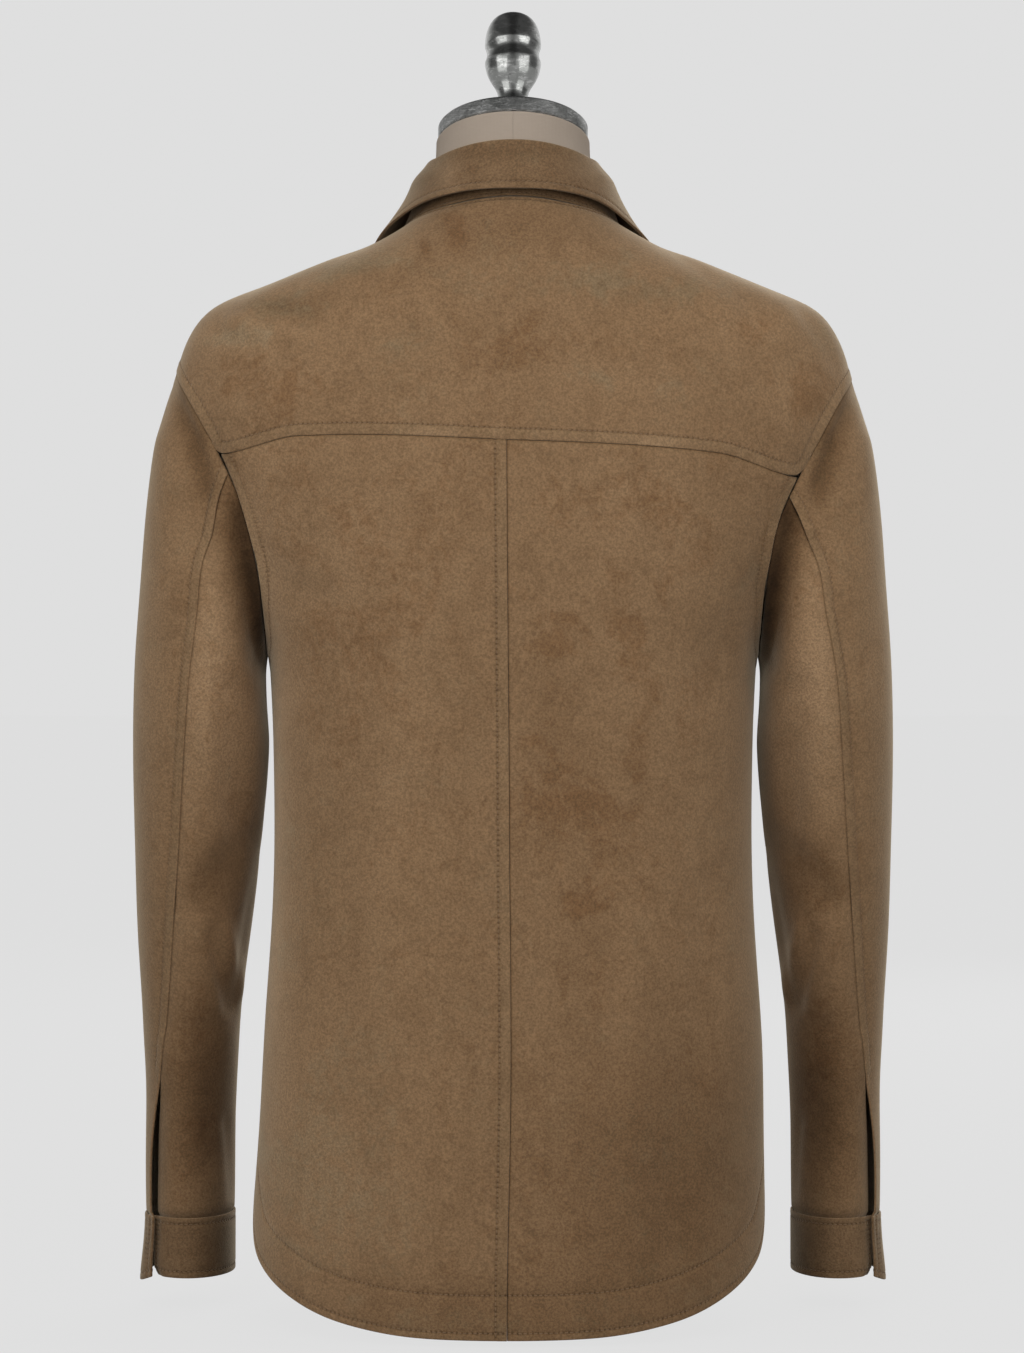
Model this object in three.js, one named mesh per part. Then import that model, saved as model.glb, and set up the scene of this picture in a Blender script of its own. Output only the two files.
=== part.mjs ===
// A suede shirt jacket worn by a limbless dress form.
// Millimetres, +Z up. The front faces -Y, the wearer's left is +X, and the foot stands on Z = 0.
import * as THREE from 'three';

const { Vector3 } = THREE;

// ---------------------------------------------------------------- driving sizes
const suede = 1.2; // one layer of suede
const standCloth = 1.4; // collar stand
const leafCloth = 1.6; // collar leaf, two layers
const cuffCloth = 1.8; // cuff, two layers
const seamGap = 0.3; // between pieces that are sewn together
const neckSeamGap = 0.5; // above and below the collar stand
const roundness = 2.3; // exponent of the body's rings: 2 is an ellipse
const placketLap = 15; // each front passes the centre line by this much
const placketDrop = 2.3; // the under front lies this far inside the other
const placketTuck = { start: 22, end: 48 }; // where it comes back out, away from the centre
const placketTop = { start: 660, end: 690 }; // and towards the neck
const openingFoot = 650; // height where the fronts part below the open collar
const yokeSeamHeight = 596;
const yokeSeamTilt = 0.04; // the yoke seam rises towards the wearer's left
const yokeSeamDrop = 13.5; // and falls by this much at the armholes
const yokeSeamBend = 4.2; // exponent of that fall: the higher, the closer it keeps to the ends
const backSeamDrift = 4.5; // the centre-back seam leans off centre by this much at the yoke
const armRowHeight = 430; // height at the centre of the row that reaches the underarm
const ventSlit = 1.5; // the under sleeve ends this far short of the seam line along the vent
const foldGap = 1.4; // inside radius of the collar's roll
const leafSpring = 0.4; // share of the leaf's fall that keeps close to the stand
const cuffProud = 0.5; // the cuff stands off the sleeve's surface
const sleeveSetOff = 0.18; // the sleeve's first row starts this far beyond the armhole's line
const sleeveLift = 0.36; // and this far out of the body, where the sleeve turns back under it
const armMiddle = new Vector3(260, 0, 540); // a place that every armhole's seam faces

const formGap = 4; // from the coat's outer surface to the form, where the coat rests on it
const formFloor = 140; // underside of the torso form
const chestAllowance = { start: 20, end: 70 }; // the form keeps clear of the under front here
const shoulderCap = { start: 200, squeeze: 0.4 }; // the form's rounded shoulder ends
const neckRadius = 53.2;
const neckLift = 0.36; // the neck starts this far above the torso
const neckFlare = 2.5; // exponent of the neck's spread towards the shoulders
const capRadius = 51.7;
const capThickness = 11.5;
const capCentre = new Vector3(0, -4, 815.3);
const capTilt = THREE.MathUtils.degToRad(14);
const poleRadius = 15;
const footRadius = 95;
const footHeight = 14;

const buttonRadius = 7.5;
const buttonThickness = 2.8;
const buttonHeights = [628, 532, 436, 340, 244, 148];

// ---------------------------------------------------------------- tables of sections

// The body as level rings: half width, the Y of its back, front and widest point.
const bodyRings = [
  { z: 0, half: 178, back: 127, front: -126, middle: 0 },
  { z: 70, half: 177, back: 127, front: -126, middle: 0 },
  { z: 100, half: 175.5, back: 127, front: -127, middle: 0 },
  { z: 135, half: 173.8, back: 127, front: -127, middle: 0 },
  { z: 180, half: 172.5, back: 126, front: -128, middle: 0 },
  { z: 217, half: 170.4, back: 125, front: -128, middle: 0 },
  { z: 260, half: 167.2, back: 124, front: -129, middle: 0 },
  { z: 300, half: 165.2, back: 123, front: -129, middle: 0 },
  { z: 350, half: 164.6, back: 122, front: -130, middle: 0 },
  { z: 400, half: 165.6, back: 122, front: -132, middle: 0 },
  { z: 452, half: 168.2, back: 122, front: -134, middle: 0 },
  { z: 480, half: 177, back: 122, front: -134, middle: 0 },
  { z: 520, half: 193, back: 121, front: -132, middle: -1 },
  { z: 560, half: 212, back: 118.5, front: -127, middle: -2 },
  { z: 600, half: 231, back: 114, front: -118, middle: -3 },
  { z: 620, half: 236, back: 111, front: -111, middle: -4 },
  { z: 640, half: 235, back: 107.5, front: -103, middle: -4 },
  { z: 655, half: 231, back: 104.5, front: -96, middle: -4 },
  { z: 666, half: 227.7, back: 102, front: -90, middle: -3 },
  { z: 680, half: 220, back: 98.5, front: -81, middle: -1 },
  { z: 694, half: 206, back: 95, front: -70, middle: 1.5 },
  { z: 707, half: 175, back: 91, front: -56.5, middle: 3.5 },
  { z: 720, half: 142.5, back: 86.5, front: -40, middle: 6 },
  { z: 734, half: 102, back: 81, front: -19, middle: 10 },
  { z: 745, half: 79.5, back: 76, front: -4, middle: 17 },
  { z: 755, half: 64, back: 71, front: 3, middle: 24 },
  { z: 764, half: 46, back: 66, front: 8, middle: 30 },
  { z: 772, half: 30, back: 61, front: 14, middle: 34 },
];

// Hem heights round each quarter of the body: 0 degrees at the side seam, 90 at the centre.
const backHem = [
  { angle: 0, z: 105 },
  { angle: 6, z: 80 },
  { angle: 12, z: 60 },
  { angle: 18, z: 47.5 },
  { angle: 24, z: 40 },
  { angle: 30, z: 33 },
  { angle: 38, z: 25.5 },
  { angle: 46, z: 18.5 },
  { angle: 56, z: 12.4 },
  { angle: 68, z: 7 },
  { angle: 80, z: 4.8 },
  { angle: 94, z: 4 },
];
const frontHem = [
  { angle: 0, z: 105 },
  { angle: 6, z: 82 },
  { angle: 12, z: 64 },
  { angle: 18, z: 52 },
  { angle: 24, z: 45 },
  { angle: 30, z: 39 },
  { angle: 40, z: 32 },
  { angle: 50, z: 27 },
  { angle: 60, z: 24 },
  { angle: 75, z: 22 },
  { angle: 94, z: 22 },
];

// The armhole, from the sleeve's back seam up over the shoulder, down the front and under the
// arm. slide lifts a station on the wearer's left and lowers it on the right.
const armholeStations = [
  { y: 66, z: 572.5, slide: 9 },
  { y: 65, z: 582.5, slide: 7.8 },
  { y: 60, z: 602, slide: 4 },
  { y: 50, z: 624, slide: 2 },
  { y: 28, z: 644, slide: 2 },
  { y: -4, z: 652, slide: 3.5 },
  { y: -27, z: 648, slide: 2 },
  { y: -47, z: 637, slide: 0 },
  { y: -60, z: 620, slide: 0 },
  { y: -69, z: 599, slide: 0 },
  { y: -73, z: 576, slide: 0 },
  { y: -73, z: 552, slide: 0 },
  { y: -69, z: 528, slide: 0 },
  { y: -62, z: 504, slide: 0 },
  { y: -50, z: 482, slide: 0 },
  { y: -35, z: 466, slide: 0 },
  { y: -17, z: 456, slide: 0 },
  { y: 0, z: 452, slide: 0 },
  { y: 15, z: 454.5, slide: 0 },
  { y: 31, z: 463, slide: 0 },
  { y: 45, z: 480, slide: 0 },
  { y: 56, z: 503, slide: 0 },
  { y: 63, z: 528, slide: 2 },
  { y: 67, z: 551, slide: 5 },
];
const yokeColumns = 9; // of each half of the yoke seam
const shoulderRows = 6;
const sideSeamRows = 11;
const frontNeckColumns = 4;
const openFrontRows = 2; // rows of the front's edge between the neck and the closed placket
const yokeBackStation = 1;
const yokeFrontStation = 7;
const sleeveFrontStation = 14;
const underarmStation = 17;

// The sleeve's rings below the armhole: its outer and inner lines, the Y of its middle, half
// its depth, the angles of its seams (0 is outwards, 90 is back), how much of the armhole's
// own shape is left, and how far the vent is open.
const sleeveRings = [
  { outX: 242, outZ: 618, inX: 171, inZ: 443, y: -3, depth: 73, back: 81, front: 222, own: 0.75, vent: 0 },
  { outX: 248.5, outZ: 590, inX: 171, inZ: 433, y: -3, depth: 75, back: 82, front: 220, own: 0.5, vent: 0 },
  { outX: 253.5, outZ: 550, inX: 170.5, inZ: 423, y: -3, depth: 76, back: 88, front: 217, own: 0.3, vent: 0 },
  { outX: 257, outZ: 505, inX: 169.8, inZ: 413, y: -4, depth: 75, back: 86, front: 214, own: 0.12, vent: 0 },
  { outX: 260.5, outZ: 460, inX: 169, inZ: 402, y: -5, depth: 73, back: 84, front: 211, own: 0.03, vent: 0 },
  { outX: 262.3, outZ: 415, inX: 169, inZ: 388, y: -7, depth: 70, back: 83, front: 208, own: 0, vent: 0 },
  { outX: 262.7, outZ: 372, inX: 171, inZ: 362, y: -11, depth: 66, back: 81, front: 206, own: 0, vent: 0 },
  { outX: 262.2, outZ: 330, inX: 174.5, inZ: 330, y: -16, depth: 63, back: 79, front: 204, own: 0, vent: 0 },
  { outX: 261.8, outZ: 295, inX: 178, inZ: 295, y: -21, depth: 60, back: 76, front: 202, own: 0, vent: 0 },
  { outX: 261, outZ: 258, inX: 183.3, inZ: 258, y: -27, depth: 56, back: 73, front: 200, own: 0, vent: 0 },
  { outX: 259.3, outZ: 220, inX: 188.9, inZ: 220, y: -34, depth: 53, back: 68, front: 198, own: 0, vent: 0 },
  { outX: 258.4, outZ: 192, inX: 191.5, inZ: 192, y: -39, depth: 51, back: 62, front: 196, own: 0, vent: 0 },
  { outX: 257.5, outZ: 168, inX: 193, inZ: 168, y: -43, depth: 49, back: 56, front: 194, own: 0, vent: 0 },
  { outX: 256.4, outZ: 135, inX: 194.8, inZ: 135, y: -48, depth: 47, back: 46, front: 193, own: 0, vent: 0.6 },
  { outX: 256, outZ: 100, inX: 195.5, inZ: 100, y: -53, depth: 46.5, back: 41, front: 192, own: 0, vent: 1 },
  { outX: 256, outZ: 66, inX: 196.2, inZ: 66, y: -57, depth: 46, back: 40, front: 192, own: 0, vent: 1 },
];
const closedSleeveRows = sleeveRings.filter((ring) => ring.vent === 0).length + 1;
const armholeFrame = { outX: 231.3, outZ: 652, inX: 168.6, inZ: 452, y: -2, depth: 70 };
const cuffRings = [
  { outX: 256, outZ: 65.7, inX: 196.2, inZ: 65.7, y: -57, depth: 46, back: 40, front: 192, tip: 0 },
  { outX: 256, outZ: 45, inX: 196.4, inZ: 45, y: -59, depth: 46, back: 40, front: 192, tip: 0.3 },
  { outX: 256.2, outZ: 23, inX: 196.6, inZ: 23, y: -61, depth: 46, back: 40, front: 192, tip: 1 },
];

// The open vent, column by column from its outer edge: how far the cloth stands off, outwards
// and backwards, on the sleeve and on the cuff, and how the cuff's lower corner turns out.
const ventOnSleeve = [
  { x: 3.4, y: 6 },
  { x: 2.8, y: 3.8 },
  { x: 2, y: 2 },
  { x: 1, y: 0.6 },
];
const ventOnCuff = [
  { x: 1.2, y: 9 },
  { x: 2.6, y: 5.6 },
  { x: 2.4, y: 2.6 },
  { x: 1.2, y: 0.8 },
];
const cuffTip = [
  { x: -2, y: 0, z: 0 },
  { x: 1, y: 0, z: -4 },
  { x: 1.4, y: 0, z: -4 },
  { x: 0.6, y: 0, z: -1.5 },
];

// Soft folds of the sleeve: the rings and the angles that each runs between, its depth
// (a ridge is negative) and its half breadth in degrees.
const sleeveFolds = [
  { fromRing: 1, toRing: 7, fromAngle: 62, toAngle: 58, depth: 3, breadth: 17 },
  { fromRing: 5, toRing: 10, fromAngle: 118, toAngle: 138, depth: 3.5, breadth: 18 },
  { fromRing: 8, toRing: 12, fromAngle: 172, toAngle: 150, depth: 3, breadth: 16 },
  { fromRing: 5, toRing: 9, fromAngle: -78, toAngle: -102, depth: 4, breadth: 17 },
  { fromRing: 7, toRing: 11, fromAngle: -128, toAngle: -112, depth: 3, breadth: 15 },
];

// The collar's left half from the centre back to its front end. Each row is a section: where
// the stand meets the body, the stand's outer top edge, and the leaf's lower edge.
const collarSections = [
  { seam: [0, 66, 764], fold: [0, 57.8, 798.4], edge: [0, 74, 769] },
  { seam: [22, 64, 762.5], fold: [19, 55.2, 798.3], edge: [23, 73, 768.5] },
  { seam: [42, 57, 759], fold: [37, 45, 798], edge: [44, 66, 766] },
  { seam: [60, 43, 755], fold: [49.8, 28, 797.5], edge: [63, 52, 761.5] },
  { seam: [73, 23, 749], fold: [55.6, 8, 796], edge: [80, 31, 753.5] },
  { seam: [78, 0, 740], fold: [57, -13, 791.5], edge: [93, 4, 744] },
  { seam: [74, -24, 728], fold: [54.5, -33, 783], edge: [101, -26, 730] },
  { seam: [64, -44, 715], fold: [48.5, -51, 770], edge: [103, -52, 712] },
  { seam: [50, -59, 704], fold: [40, -64, 752], edge: [98, -73, 694] },
  { seam: [33, -69, 695], fold: [31, -73, 730], edge: [85, -85, 677] },
];
const collarSteps = 14; // columns on each half of the collar
const yokeNeckEnd = 6.3; // where the front shoulder seams meet the neck, in rows of that table
const yokeArmholeShare = 0.62; // past this share of its half neck, the yoke faces the armhole
const standRows = 3;
const leafFallRows = 4;
const rollAngles = [180, 135, 90, 45, 0]; // the leaf's roll, from inside the stand to outside

// Distance kept between the coat's outer surface and the form, by height.
const formClearances = [
  { z: 140, gap: 24 },
  { z: 260, gap: 17 },
  { z: 380, gap: 20 },
  { z: 460, gap: 13 },
  { z: 530, gap: 7 },
  { z: 590, gap: formGap + 0.6 },
  { z: 640, gap: formGap + 0.3 },
  { z: 690, gap: formGap + 4 },
  { z: 780, gap: formGap },
];
const formLevels = [140, 200, 270, 340, 410, 480, 540, 600, 655];
const formCrownRows = 5; // rows from the highest level ring to the neck
const formColumns = 32;
const formNeckInset = 3; // the torso ends this far inside the neck opening
const neckFront = new Vector3(0, -76, 690); // where the neck opening crosses the centre front
const neckRows = [0, 0.2, 0.42, 0.66, 0.85, 1];

// Metal profiles: radius and height.
const capProfile = [
  [0, -capThickness / 2],
  [capRadius - 1.2, -capThickness / 2],
  [capRadius, -capThickness / 2 + 1.2],
  [capRadius, capThickness / 2 - 1.6],
  [capRadius - 1.6, capThickness / 2],
  [0, capThickness / 2],
];
const finialProfile = [
  [0, 0],
  [17, 0],
  [17, 3],
  [12.5, 8],
  [10.4, 16],
  [10, 24],
  [13, 30],
  [17.2, 36],
  [19, 42.5],
  [19.1, 47],
  [17.9, 53.5],
  [19.1, 59],
  [19.2, 63],
  [17.6, 72.5],
  [12.6, 79.5],
  [6, 83.3],
  [0, 84],
];
const finialSides = 20;
const footProfile = [
  [0, 0],
  [footRadius, 0],
  [footRadius, 8],
  [footRadius - 4, 12],
  [footRadius - 14, footHeight],
  [0, footHeight],
];
const buttonProfile = [
  [0, 0],
  [buttonRadius - 1, 0],
  [buttonRadius, 1.1],
  [buttonRadius - 0.6, buttonThickness],
  [buttonRadius - 2, buttonThickness],
  [buttonRadius - 2.6, buttonThickness - 0.7],
  [0, buttonThickness - 0.7],
];

// ---------------------------------------------------------------- tables as smooth functions

/** Turns rows with named columns into a smooth function of the column called key. */
function smoothTable(rows, key) {
  const names = Object.keys(rows[0]).filter((name) => name !== key);
  const places = rows.map((row) => row[key]);
  const values = rows.flatMap((row) => names.map((name) => row[name]));
  const curve = new THREE.CubicInterpolant(places, values, names.length);
  return (place) => {
    const found = curve.evaluate(place);
    return Object.fromEntries(names.map((name, index) => [name, found[index]]));
  };
}

const bodyAt = smoothTable(bodyRings, 'z');
const backHemAt = smoothTable(backHem, 'angle');
const frontHemAt = smoothTable(frontHem, 'angle');
const formClearanceAt = smoothTable(formClearances, 'z');

const { degToRad, lerp, smoothstep } = THREE.MathUtils;
const gradientReach = 0.5; // how far to each side the surface's slope is felt
const settleTurns = 25;
const settleStep = 0.8; // share of the way to the surface that each turn goes
const mirror = (point) => new Vector3(-point.x, point.y, point.z);
const steps = (count) => Array.from({ length: count + 1 }, (_, index) => index / count);

// ---------------------------------------------------------------- the body's surface

/** Zero on the body's surface, negative inside it. */
function bodyLevel(x, y, z) {
  const ring = bodyAt(z);
  const depth = y > ring.middle ? ring.back - ring.middle : ring.middle - ring.front;
  const across = Math.abs(x) / ring.half;
  const along = Math.abs(y - ring.middle) / depth;
  return across ** roundness + along ** roundness - 1;
}

function bodyGradient({ x, y, z }) {
  const h = gradientReach;
  return new Vector3(
    (bodyLevel(x + h, y, z) - bodyLevel(x - h, y, z)) / (2 * h),
    (bodyLevel(x, y + h, z) - bodyLevel(x, y - h, z)) / (2 * h),
    (bodyLevel(x, y, z + h) - bodyLevel(x, y, z - h)) / (2 * h),
  );
}

const bodyNormal = (point) => bodyGradient(point).normalize();

/** Moves a point along the gradient until it lies on the body's surface. */
function settle(point) {
  const place = point.clone();
  for (let turn = 0; turn < settleTurns; turn += 1) {
    const gradient = bodyGradient(place);
    const level = bodyLevel(place.x, place.y, place.z);
    place.addScaledVector(gradient, (-settleStep * level) / gradient.lengthSq());
  }
  return place;
}

/** The surface's X at a given Y and Z. */
function bodyX(y, z) {
  const ring = bodyAt(z);
  const depth = y > ring.middle ? ring.back - ring.middle : ring.middle - ring.front;
  const along = (Math.abs(y - ring.middle) / depth) ** roundness;
  return ring.half * Math.max(0, 1 - along) ** (1 / roundness);
}

/** The surface's back or front Y at a given X and Z. */
function bodyY(x, z, back) {
  const ring = bodyAt(z);
  const across = (Math.abs(x) / ring.half) ** roundness;
  const depth = back ? ring.back - ring.middle : ring.front - ring.middle;
  return ring.middle + depth * Math.max(0, 1 - across) ** (1 / roundness);
}

/** A point of the level ring at z, by its angle: 0 is the wearer's left, 90 the back. */
function ringPoint(angle, z) {
  const ring = bodyAt(z);
  const power = 2 / roundness;
  const cosine = Math.cos(degToRad(angle));
  const sine = Math.sin(degToRad(angle));
  const depth = sine > 0 ? ring.back - ring.middle : ring.middle - ring.front;
  return new Vector3(
    ring.half * Math.sign(cosine) * Math.abs(cosine) ** power,
    ring.middle + depth * Math.sign(sine) * Math.abs(sine) ** power,
    z,
  );
}

// ---------------------------------------------------------------- sheets and walls
// A sheet is rows of { p, n }: a point of the cloth's outer surface and its normal.

/** Fills a four-sided patch between its top, bottom, left and right edges. */
function fillPatch(top, bottom, left, right) {
  const columns = top.length - 1;
  const rows = left.length - 1;
  return left.map((leftPoint, row) => {
    const v = row / rows;
    return top.map((topPoint, column) => {
      const u = column / columns;
      const place = topPoint.clone().multiplyScalar(1 - v);
      place.addScaledVector(bottom[column], v);
      place.addScaledVector(leftPoint, 1 - u);
      place.addScaledVector(right[row], u);
      place.addScaledVector(top[0], -(1 - u) * (1 - v));
      place.addScaledVector(top[columns], -u * (1 - v));
      place.addScaledVector(bottom[0], -(1 - u) * v);
      place.addScaledVector(bottom[columns], -u * v);
      return place;
    });
  });
}

/** Lays a patch's inner points on the body and gives every point the body's normal. */
function layOnBody(points) {
  const lastRow = points.length - 1;
  return points.map((row, r) =>
    row.map((point, c) => {
      const onEdge = r === 0 || c === 0 || r === lastRow || c === row.length - 1;
      const p = onEdge ? point.clone() : settle(point);
      return { p, n: bodyNormal(p) };
    }),
  );
}

/** Works out a sheet's normals from its own points. facing is { row, column, direction }. */
function sheetOf(points, facing, closedRows = 0) {
  const lastRow = points.length - 1;
  const lastColumn = points[0].length - 1;
  const sheet = points.map((row, r) =>
    row.map((point, c) => {
      const wraps = r < closedRows;
      const before = c === 0 ? (wraps ? lastColumn - 1 : 0) : c - 1;
      const after = c === lastColumn ? (wraps ? 1 : lastColumn) : c + 1;
      const across = row[after].clone().sub(row[before]);
      const up = Math.max(r - 1, 0);
      const down = Math.min(r + 1, lastRow);
      const along = points[down][c].clone().sub(points[up][c]);
      return { p: point.clone(), n: across.cross(along).normalize() };
    }),
  );
  const probe = sheet[facing.row][facing.column].n;
  const sign = Math.sign(probe.dot(facing.direction));
  sheet.forEach((row) => row.forEach((spot) => spot.n.multiplyScalar(sign)));
  return sheet;
}

/** Draws a sheet's edges in. The right edge's distance may be a function of the row. */
function trim(sheet, { top = 0, bottom = 0, left = 0, right = 0 }) {
  const lastRow = sheet.length - 1;
  const lastColumn = sheet[0].length - 1;
  const moves = sheet.map((row) => row.map(() => new Vector3()));
  const draw = (r, c, innerR, innerC, beforeR, beforeC, afterR, afterC, distance) => {
    const { p, n } = sheet[r][c];
    const edge = sheet[afterR][afterC].p.clone().sub(sheet[beforeR][beforeC].p).normalize();
    const inward = sheet[innerR][innerC].p.clone().sub(p);
    inward.addScaledVector(edge, -inward.dot(edge));
    inward.addScaledVector(n, -inward.dot(n));
    moves[r][c].addScaledVector(inward.normalize(), distance);
  };
  for (let c = 0; c <= lastColumn; c += 1) {
    const before = Math.max(c - 1, 0);
    const after = Math.min(c + 1, lastColumn);
    draw(0, c, 1, c, 0, before, 0, after, top);
    draw(lastRow, c, lastRow - 1, c, lastRow, before, lastRow, after, bottom);
  }
  for (let r = 0; r <= lastRow; r += 1) {
    const before = Math.max(r - 1, 0);
    const after = Math.min(r + 1, lastRow);
    draw(r, 0, r, 1, before, 0, after, 0, left);
    const distance = typeof right === 'function' ? right(r) : right;
    draw(r, lastColumn, r, lastColumn - 1, before, lastColumn, after, lastColumn, distance);
  }
  return sheet.map((row, r) =>
    row.map(({ p, n }, c) => ({ p: p.clone().add(moves[r][c]), n })),
  );
}

/** A closed geometry from points and triangles, with its faces pointing out. */
function closedGeometry(points, triangles) {
  let volume = 0;
  for (const [a, b, c] of triangles) {
    volume += points[a].dot(points[b].clone().cross(points[c])) / 6;
  }
  const ordered = volume > 0 ? triangles : triangles.map(([a, b, c]) => [a, c, b]);
  const geometry = new THREE.BufferGeometry();
  geometry.setFromPoints(points);
  geometry.setIndex(ordered.flat());
  geometry.computeVertexNormals();
  return geometry;
}

/** A wall of cloth: the sheet outside, and inside it a copy one thickness away. */
function wallOf(sheet, thickness) {
  const rows = sheet.length;
  const columns = sheet[0].length;
  const outside = sheet.flat().map(({ p }) => p);
  const inside = sheet.flat().map(({ p, n }) => p.clone().addScaledVector(n, -thickness));
  const out = (r, c) => r * columns + c;
  const back = (r, c) => rows * columns + out(r, c);
  const triangles = [];
  const quad = (a, b, c, d) => triangles.push([a, b, c], [a, c, d]);
  for (let r = 0; r < rows - 1; r += 1) {
    for (let c = 0; c < columns - 1; c += 1) {
      quad(out(r, c), out(r, c + 1), out(r + 1, c + 1), out(r + 1, c));
      quad(back(r, c), back(r + 1, c), back(r + 1, c + 1), back(r, c + 1));
    }
    quad(out(r, 0), out(r + 1, 0), back(r + 1, 0), back(r, 0));
    quad(out(r, columns - 1), back(r, columns - 1), back(r + 1, columns - 1), out(r + 1, columns - 1));
  }
  for (let c = 0; c < columns - 1; c += 1) {
    quad(out(0, c), back(0, c), back(0, c + 1), out(0, c + 1));
    quad(out(rows - 1, c), out(rows - 1, c + 1), back(rows - 1, c + 1), back(rows - 1, c));
  }
  return closedGeometry([...outside, ...inside], triangles);
}

/** The same sheet on the wearer's other side. */
function mirrored(sheet) {
  return sheet.map((row) => row.map(({ p, n }) => ({ p: mirror(p), n: mirror(n) })));
}

// ---------------------------------------------------------------- neckline and collar curves

/** A smooth curve through one of the collar table's points, from right front to left front. */
function collarCurve(name, change) {
  const left = collarSections.map((section) => change(new Vector3(...section[name])));
  const right = left.slice(1).reverse().map(mirror);
  return new THREE.CatmullRomCurve3([...right, ...left]);
}

const keep = (point) => point;
const neckCurve = collarCurve('seam', settle);
const foldCurve = collarCurve('fold', keep);
const edgeCurve = collarCurve('edge', keep);
const lastSection = collarSections.length - 1;

/** A point on one of those curves. place counts table rows from the centre back. */
const onCollar = (curve, place) => curve.getPoint(0.5 + place / (2 * lastSection));
const neckPoint = (place) => settle(onCollar(neckCurve, place));

// ---------------------------------------------------------------- armhole and sleeve

function ellipsePoint(ring, angle) {
  const cosine = Math.cos(degToRad(angle));
  const sine = Math.sin(degToRad(angle));
  return new Vector3(
    (ring.outX + ring.inX) / 2 + ((ring.outX - ring.inX) / 2) * cosine,
    ring.y + ring.depth * sine,
    (ring.outZ + ring.inZ) / 2 + ((ring.outZ - ring.inZ) / 2) * cosine,
  );
}

/** The armhole's stations, with the first one repeated at the end. */
function armholePoints(side) {
  const points = armholeStations.map(({ y, z, slide }) => {
    const height = z + slide * side;
    return new Vector3(bodyX(y, height), y, height);
  });
  return [...points, points[0].clone()];
}

/** The angles of the armhole's stations round the sleeve, falling from the back seam. */
function armholeAngles(points) {
  const middleZ = (armholeFrame.outZ + armholeFrame.inZ) / 2;
  const halfZ = (armholeFrame.outZ - armholeFrame.inZ) / 2;
  let previous = 180;
  return points.map(({ y, z }) => {
    const across = (y - armholeFrame.y) / armholeFrame.depth;
    const radians = Math.atan2(across, (z - middleZ) / halfZ);
    let angle = THREE.MathUtils.radToDeg(radians);
    while (angle > previous) {
      angle -= 360;
    }
    previous = angle;
    return angle;
  });
}

/** A column's angle on a ring whose seams lie at the ring's own angles. */
function columnAngle(ring, column) {
  const frontAngle = ring.front - 360;
  if (column <= sleeveFrontStation) {
    return lerp(ring.back, frontAngle, column / sleeveFrontStation);
  }
  const rest = armholeStations.length - sleeveFrontStation;
  return lerp(frontAngle, ring.back - 360, (column - sleeveFrontStation) / rest);
}

/** How far the sleeve's folds draw a point in, at a ring and an angle. */
function foldDepth(ringIndex, angle) {
  let depth = 0;
  for (const fold of sleeveFolds) {
    const along = (ringIndex - fold.fromRing) / (fold.toRing - fold.fromRing);
    if (along > 0 && along < 1) {
      const middle = lerp(fold.fromAngle, fold.toAngle, along);
      const away = THREE.MathUtils.euclideanModulo(angle - middle + 180, 360) - 180;
      const shape = Math.exp(-((away / fold.breadth) ** 2)) * Math.sin(Math.PI * along);
      depth += fold.depth * shape;
    }
  }
  return depth;
}

/** Opens the vent: the outer edge and the columns beside it stand off. */
function openVent(row, flares, amount) {
  flares.forEach(({ x, y, z = 0 }, column) => {
    row[column].addScaledVector(new Vector3(x, y, z), amount);
  });
}

function sleevePoints(hole) {
  const holeAngles = armholeAngles(hole);
  const own = hole.map((point, column) =>
    point.clone().sub(ellipsePoint(armholeFrame, holeAngles[column])),
  );
  const rows = sleeveRings.map((ring, index) => {
    const even = smoothstep(index + 1, 0, 5);
    const row = hole.map((_, column) => {
      const angle = lerp(holeAngles[column], columnAngle(ring, column), even);
      const place = ellipsePoint(ring, angle);
      const middle = ellipsePoint(ring, 90).add(ellipsePoint(ring, 270)).multiplyScalar(0.5);
      const inward = middle.sub(place).normalize();
      place.addScaledVector(own[column], ring.own);
      return place.addScaledVector(inward, foldDepth(index + 1, angle));
    });
    openVent(row, ventOnSleeve, ring.vent);
    return row;
  });
  return [hole, ...rows];
}

/** The armhole's seam: each station with the normals that the body and the sleeve take there. */
function armholeSeam(hole, sleeve) {
  const count = hole.length - 1;
  const axis = sleeve[1].reduce((sum, point) => sum.add(point), new Vector3());
  axis.divideScalar(sleeve[1].length);
  return hole.map((p, index) => {
    const before = hole[(index - 1 + count) % count];
    const after = hole[(index + 1) % count];
    const seamLine = after.clone().sub(before).normalize();
    const body = bodyNormal(p);
    const beyond = seamLine.clone().cross(body).normalize();
    if (beyond.dot(armMiddle.clone().sub(p)) < 0) {
      beyond.negate();
    }
    const down = sleeve[1][index].clone().sub(p);
    down.addScaledVector(seamLine, -down.dot(seamLine)).normalize();
    const cloth = seamLine.clone().cross(down).normalize();
    if (cloth.dot(p.clone().sub(axis)) < 0) {
      cloth.negate();
    }
    const shared = body.clone().add(cloth).normalize();
    const ridge = down.dot(body) < 0;
    const start = p.clone().addScaledVector(beyond, sleeveSetOff);
    start.addScaledVector(body, sleeveLift * Math.max(0, -beyond.dot(down)));
    return {
      p,
      start,
      bodySide: ridge ? shared : body,
      sleeveSide: ridge ? shared : cloth,
    };
  });
}

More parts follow.
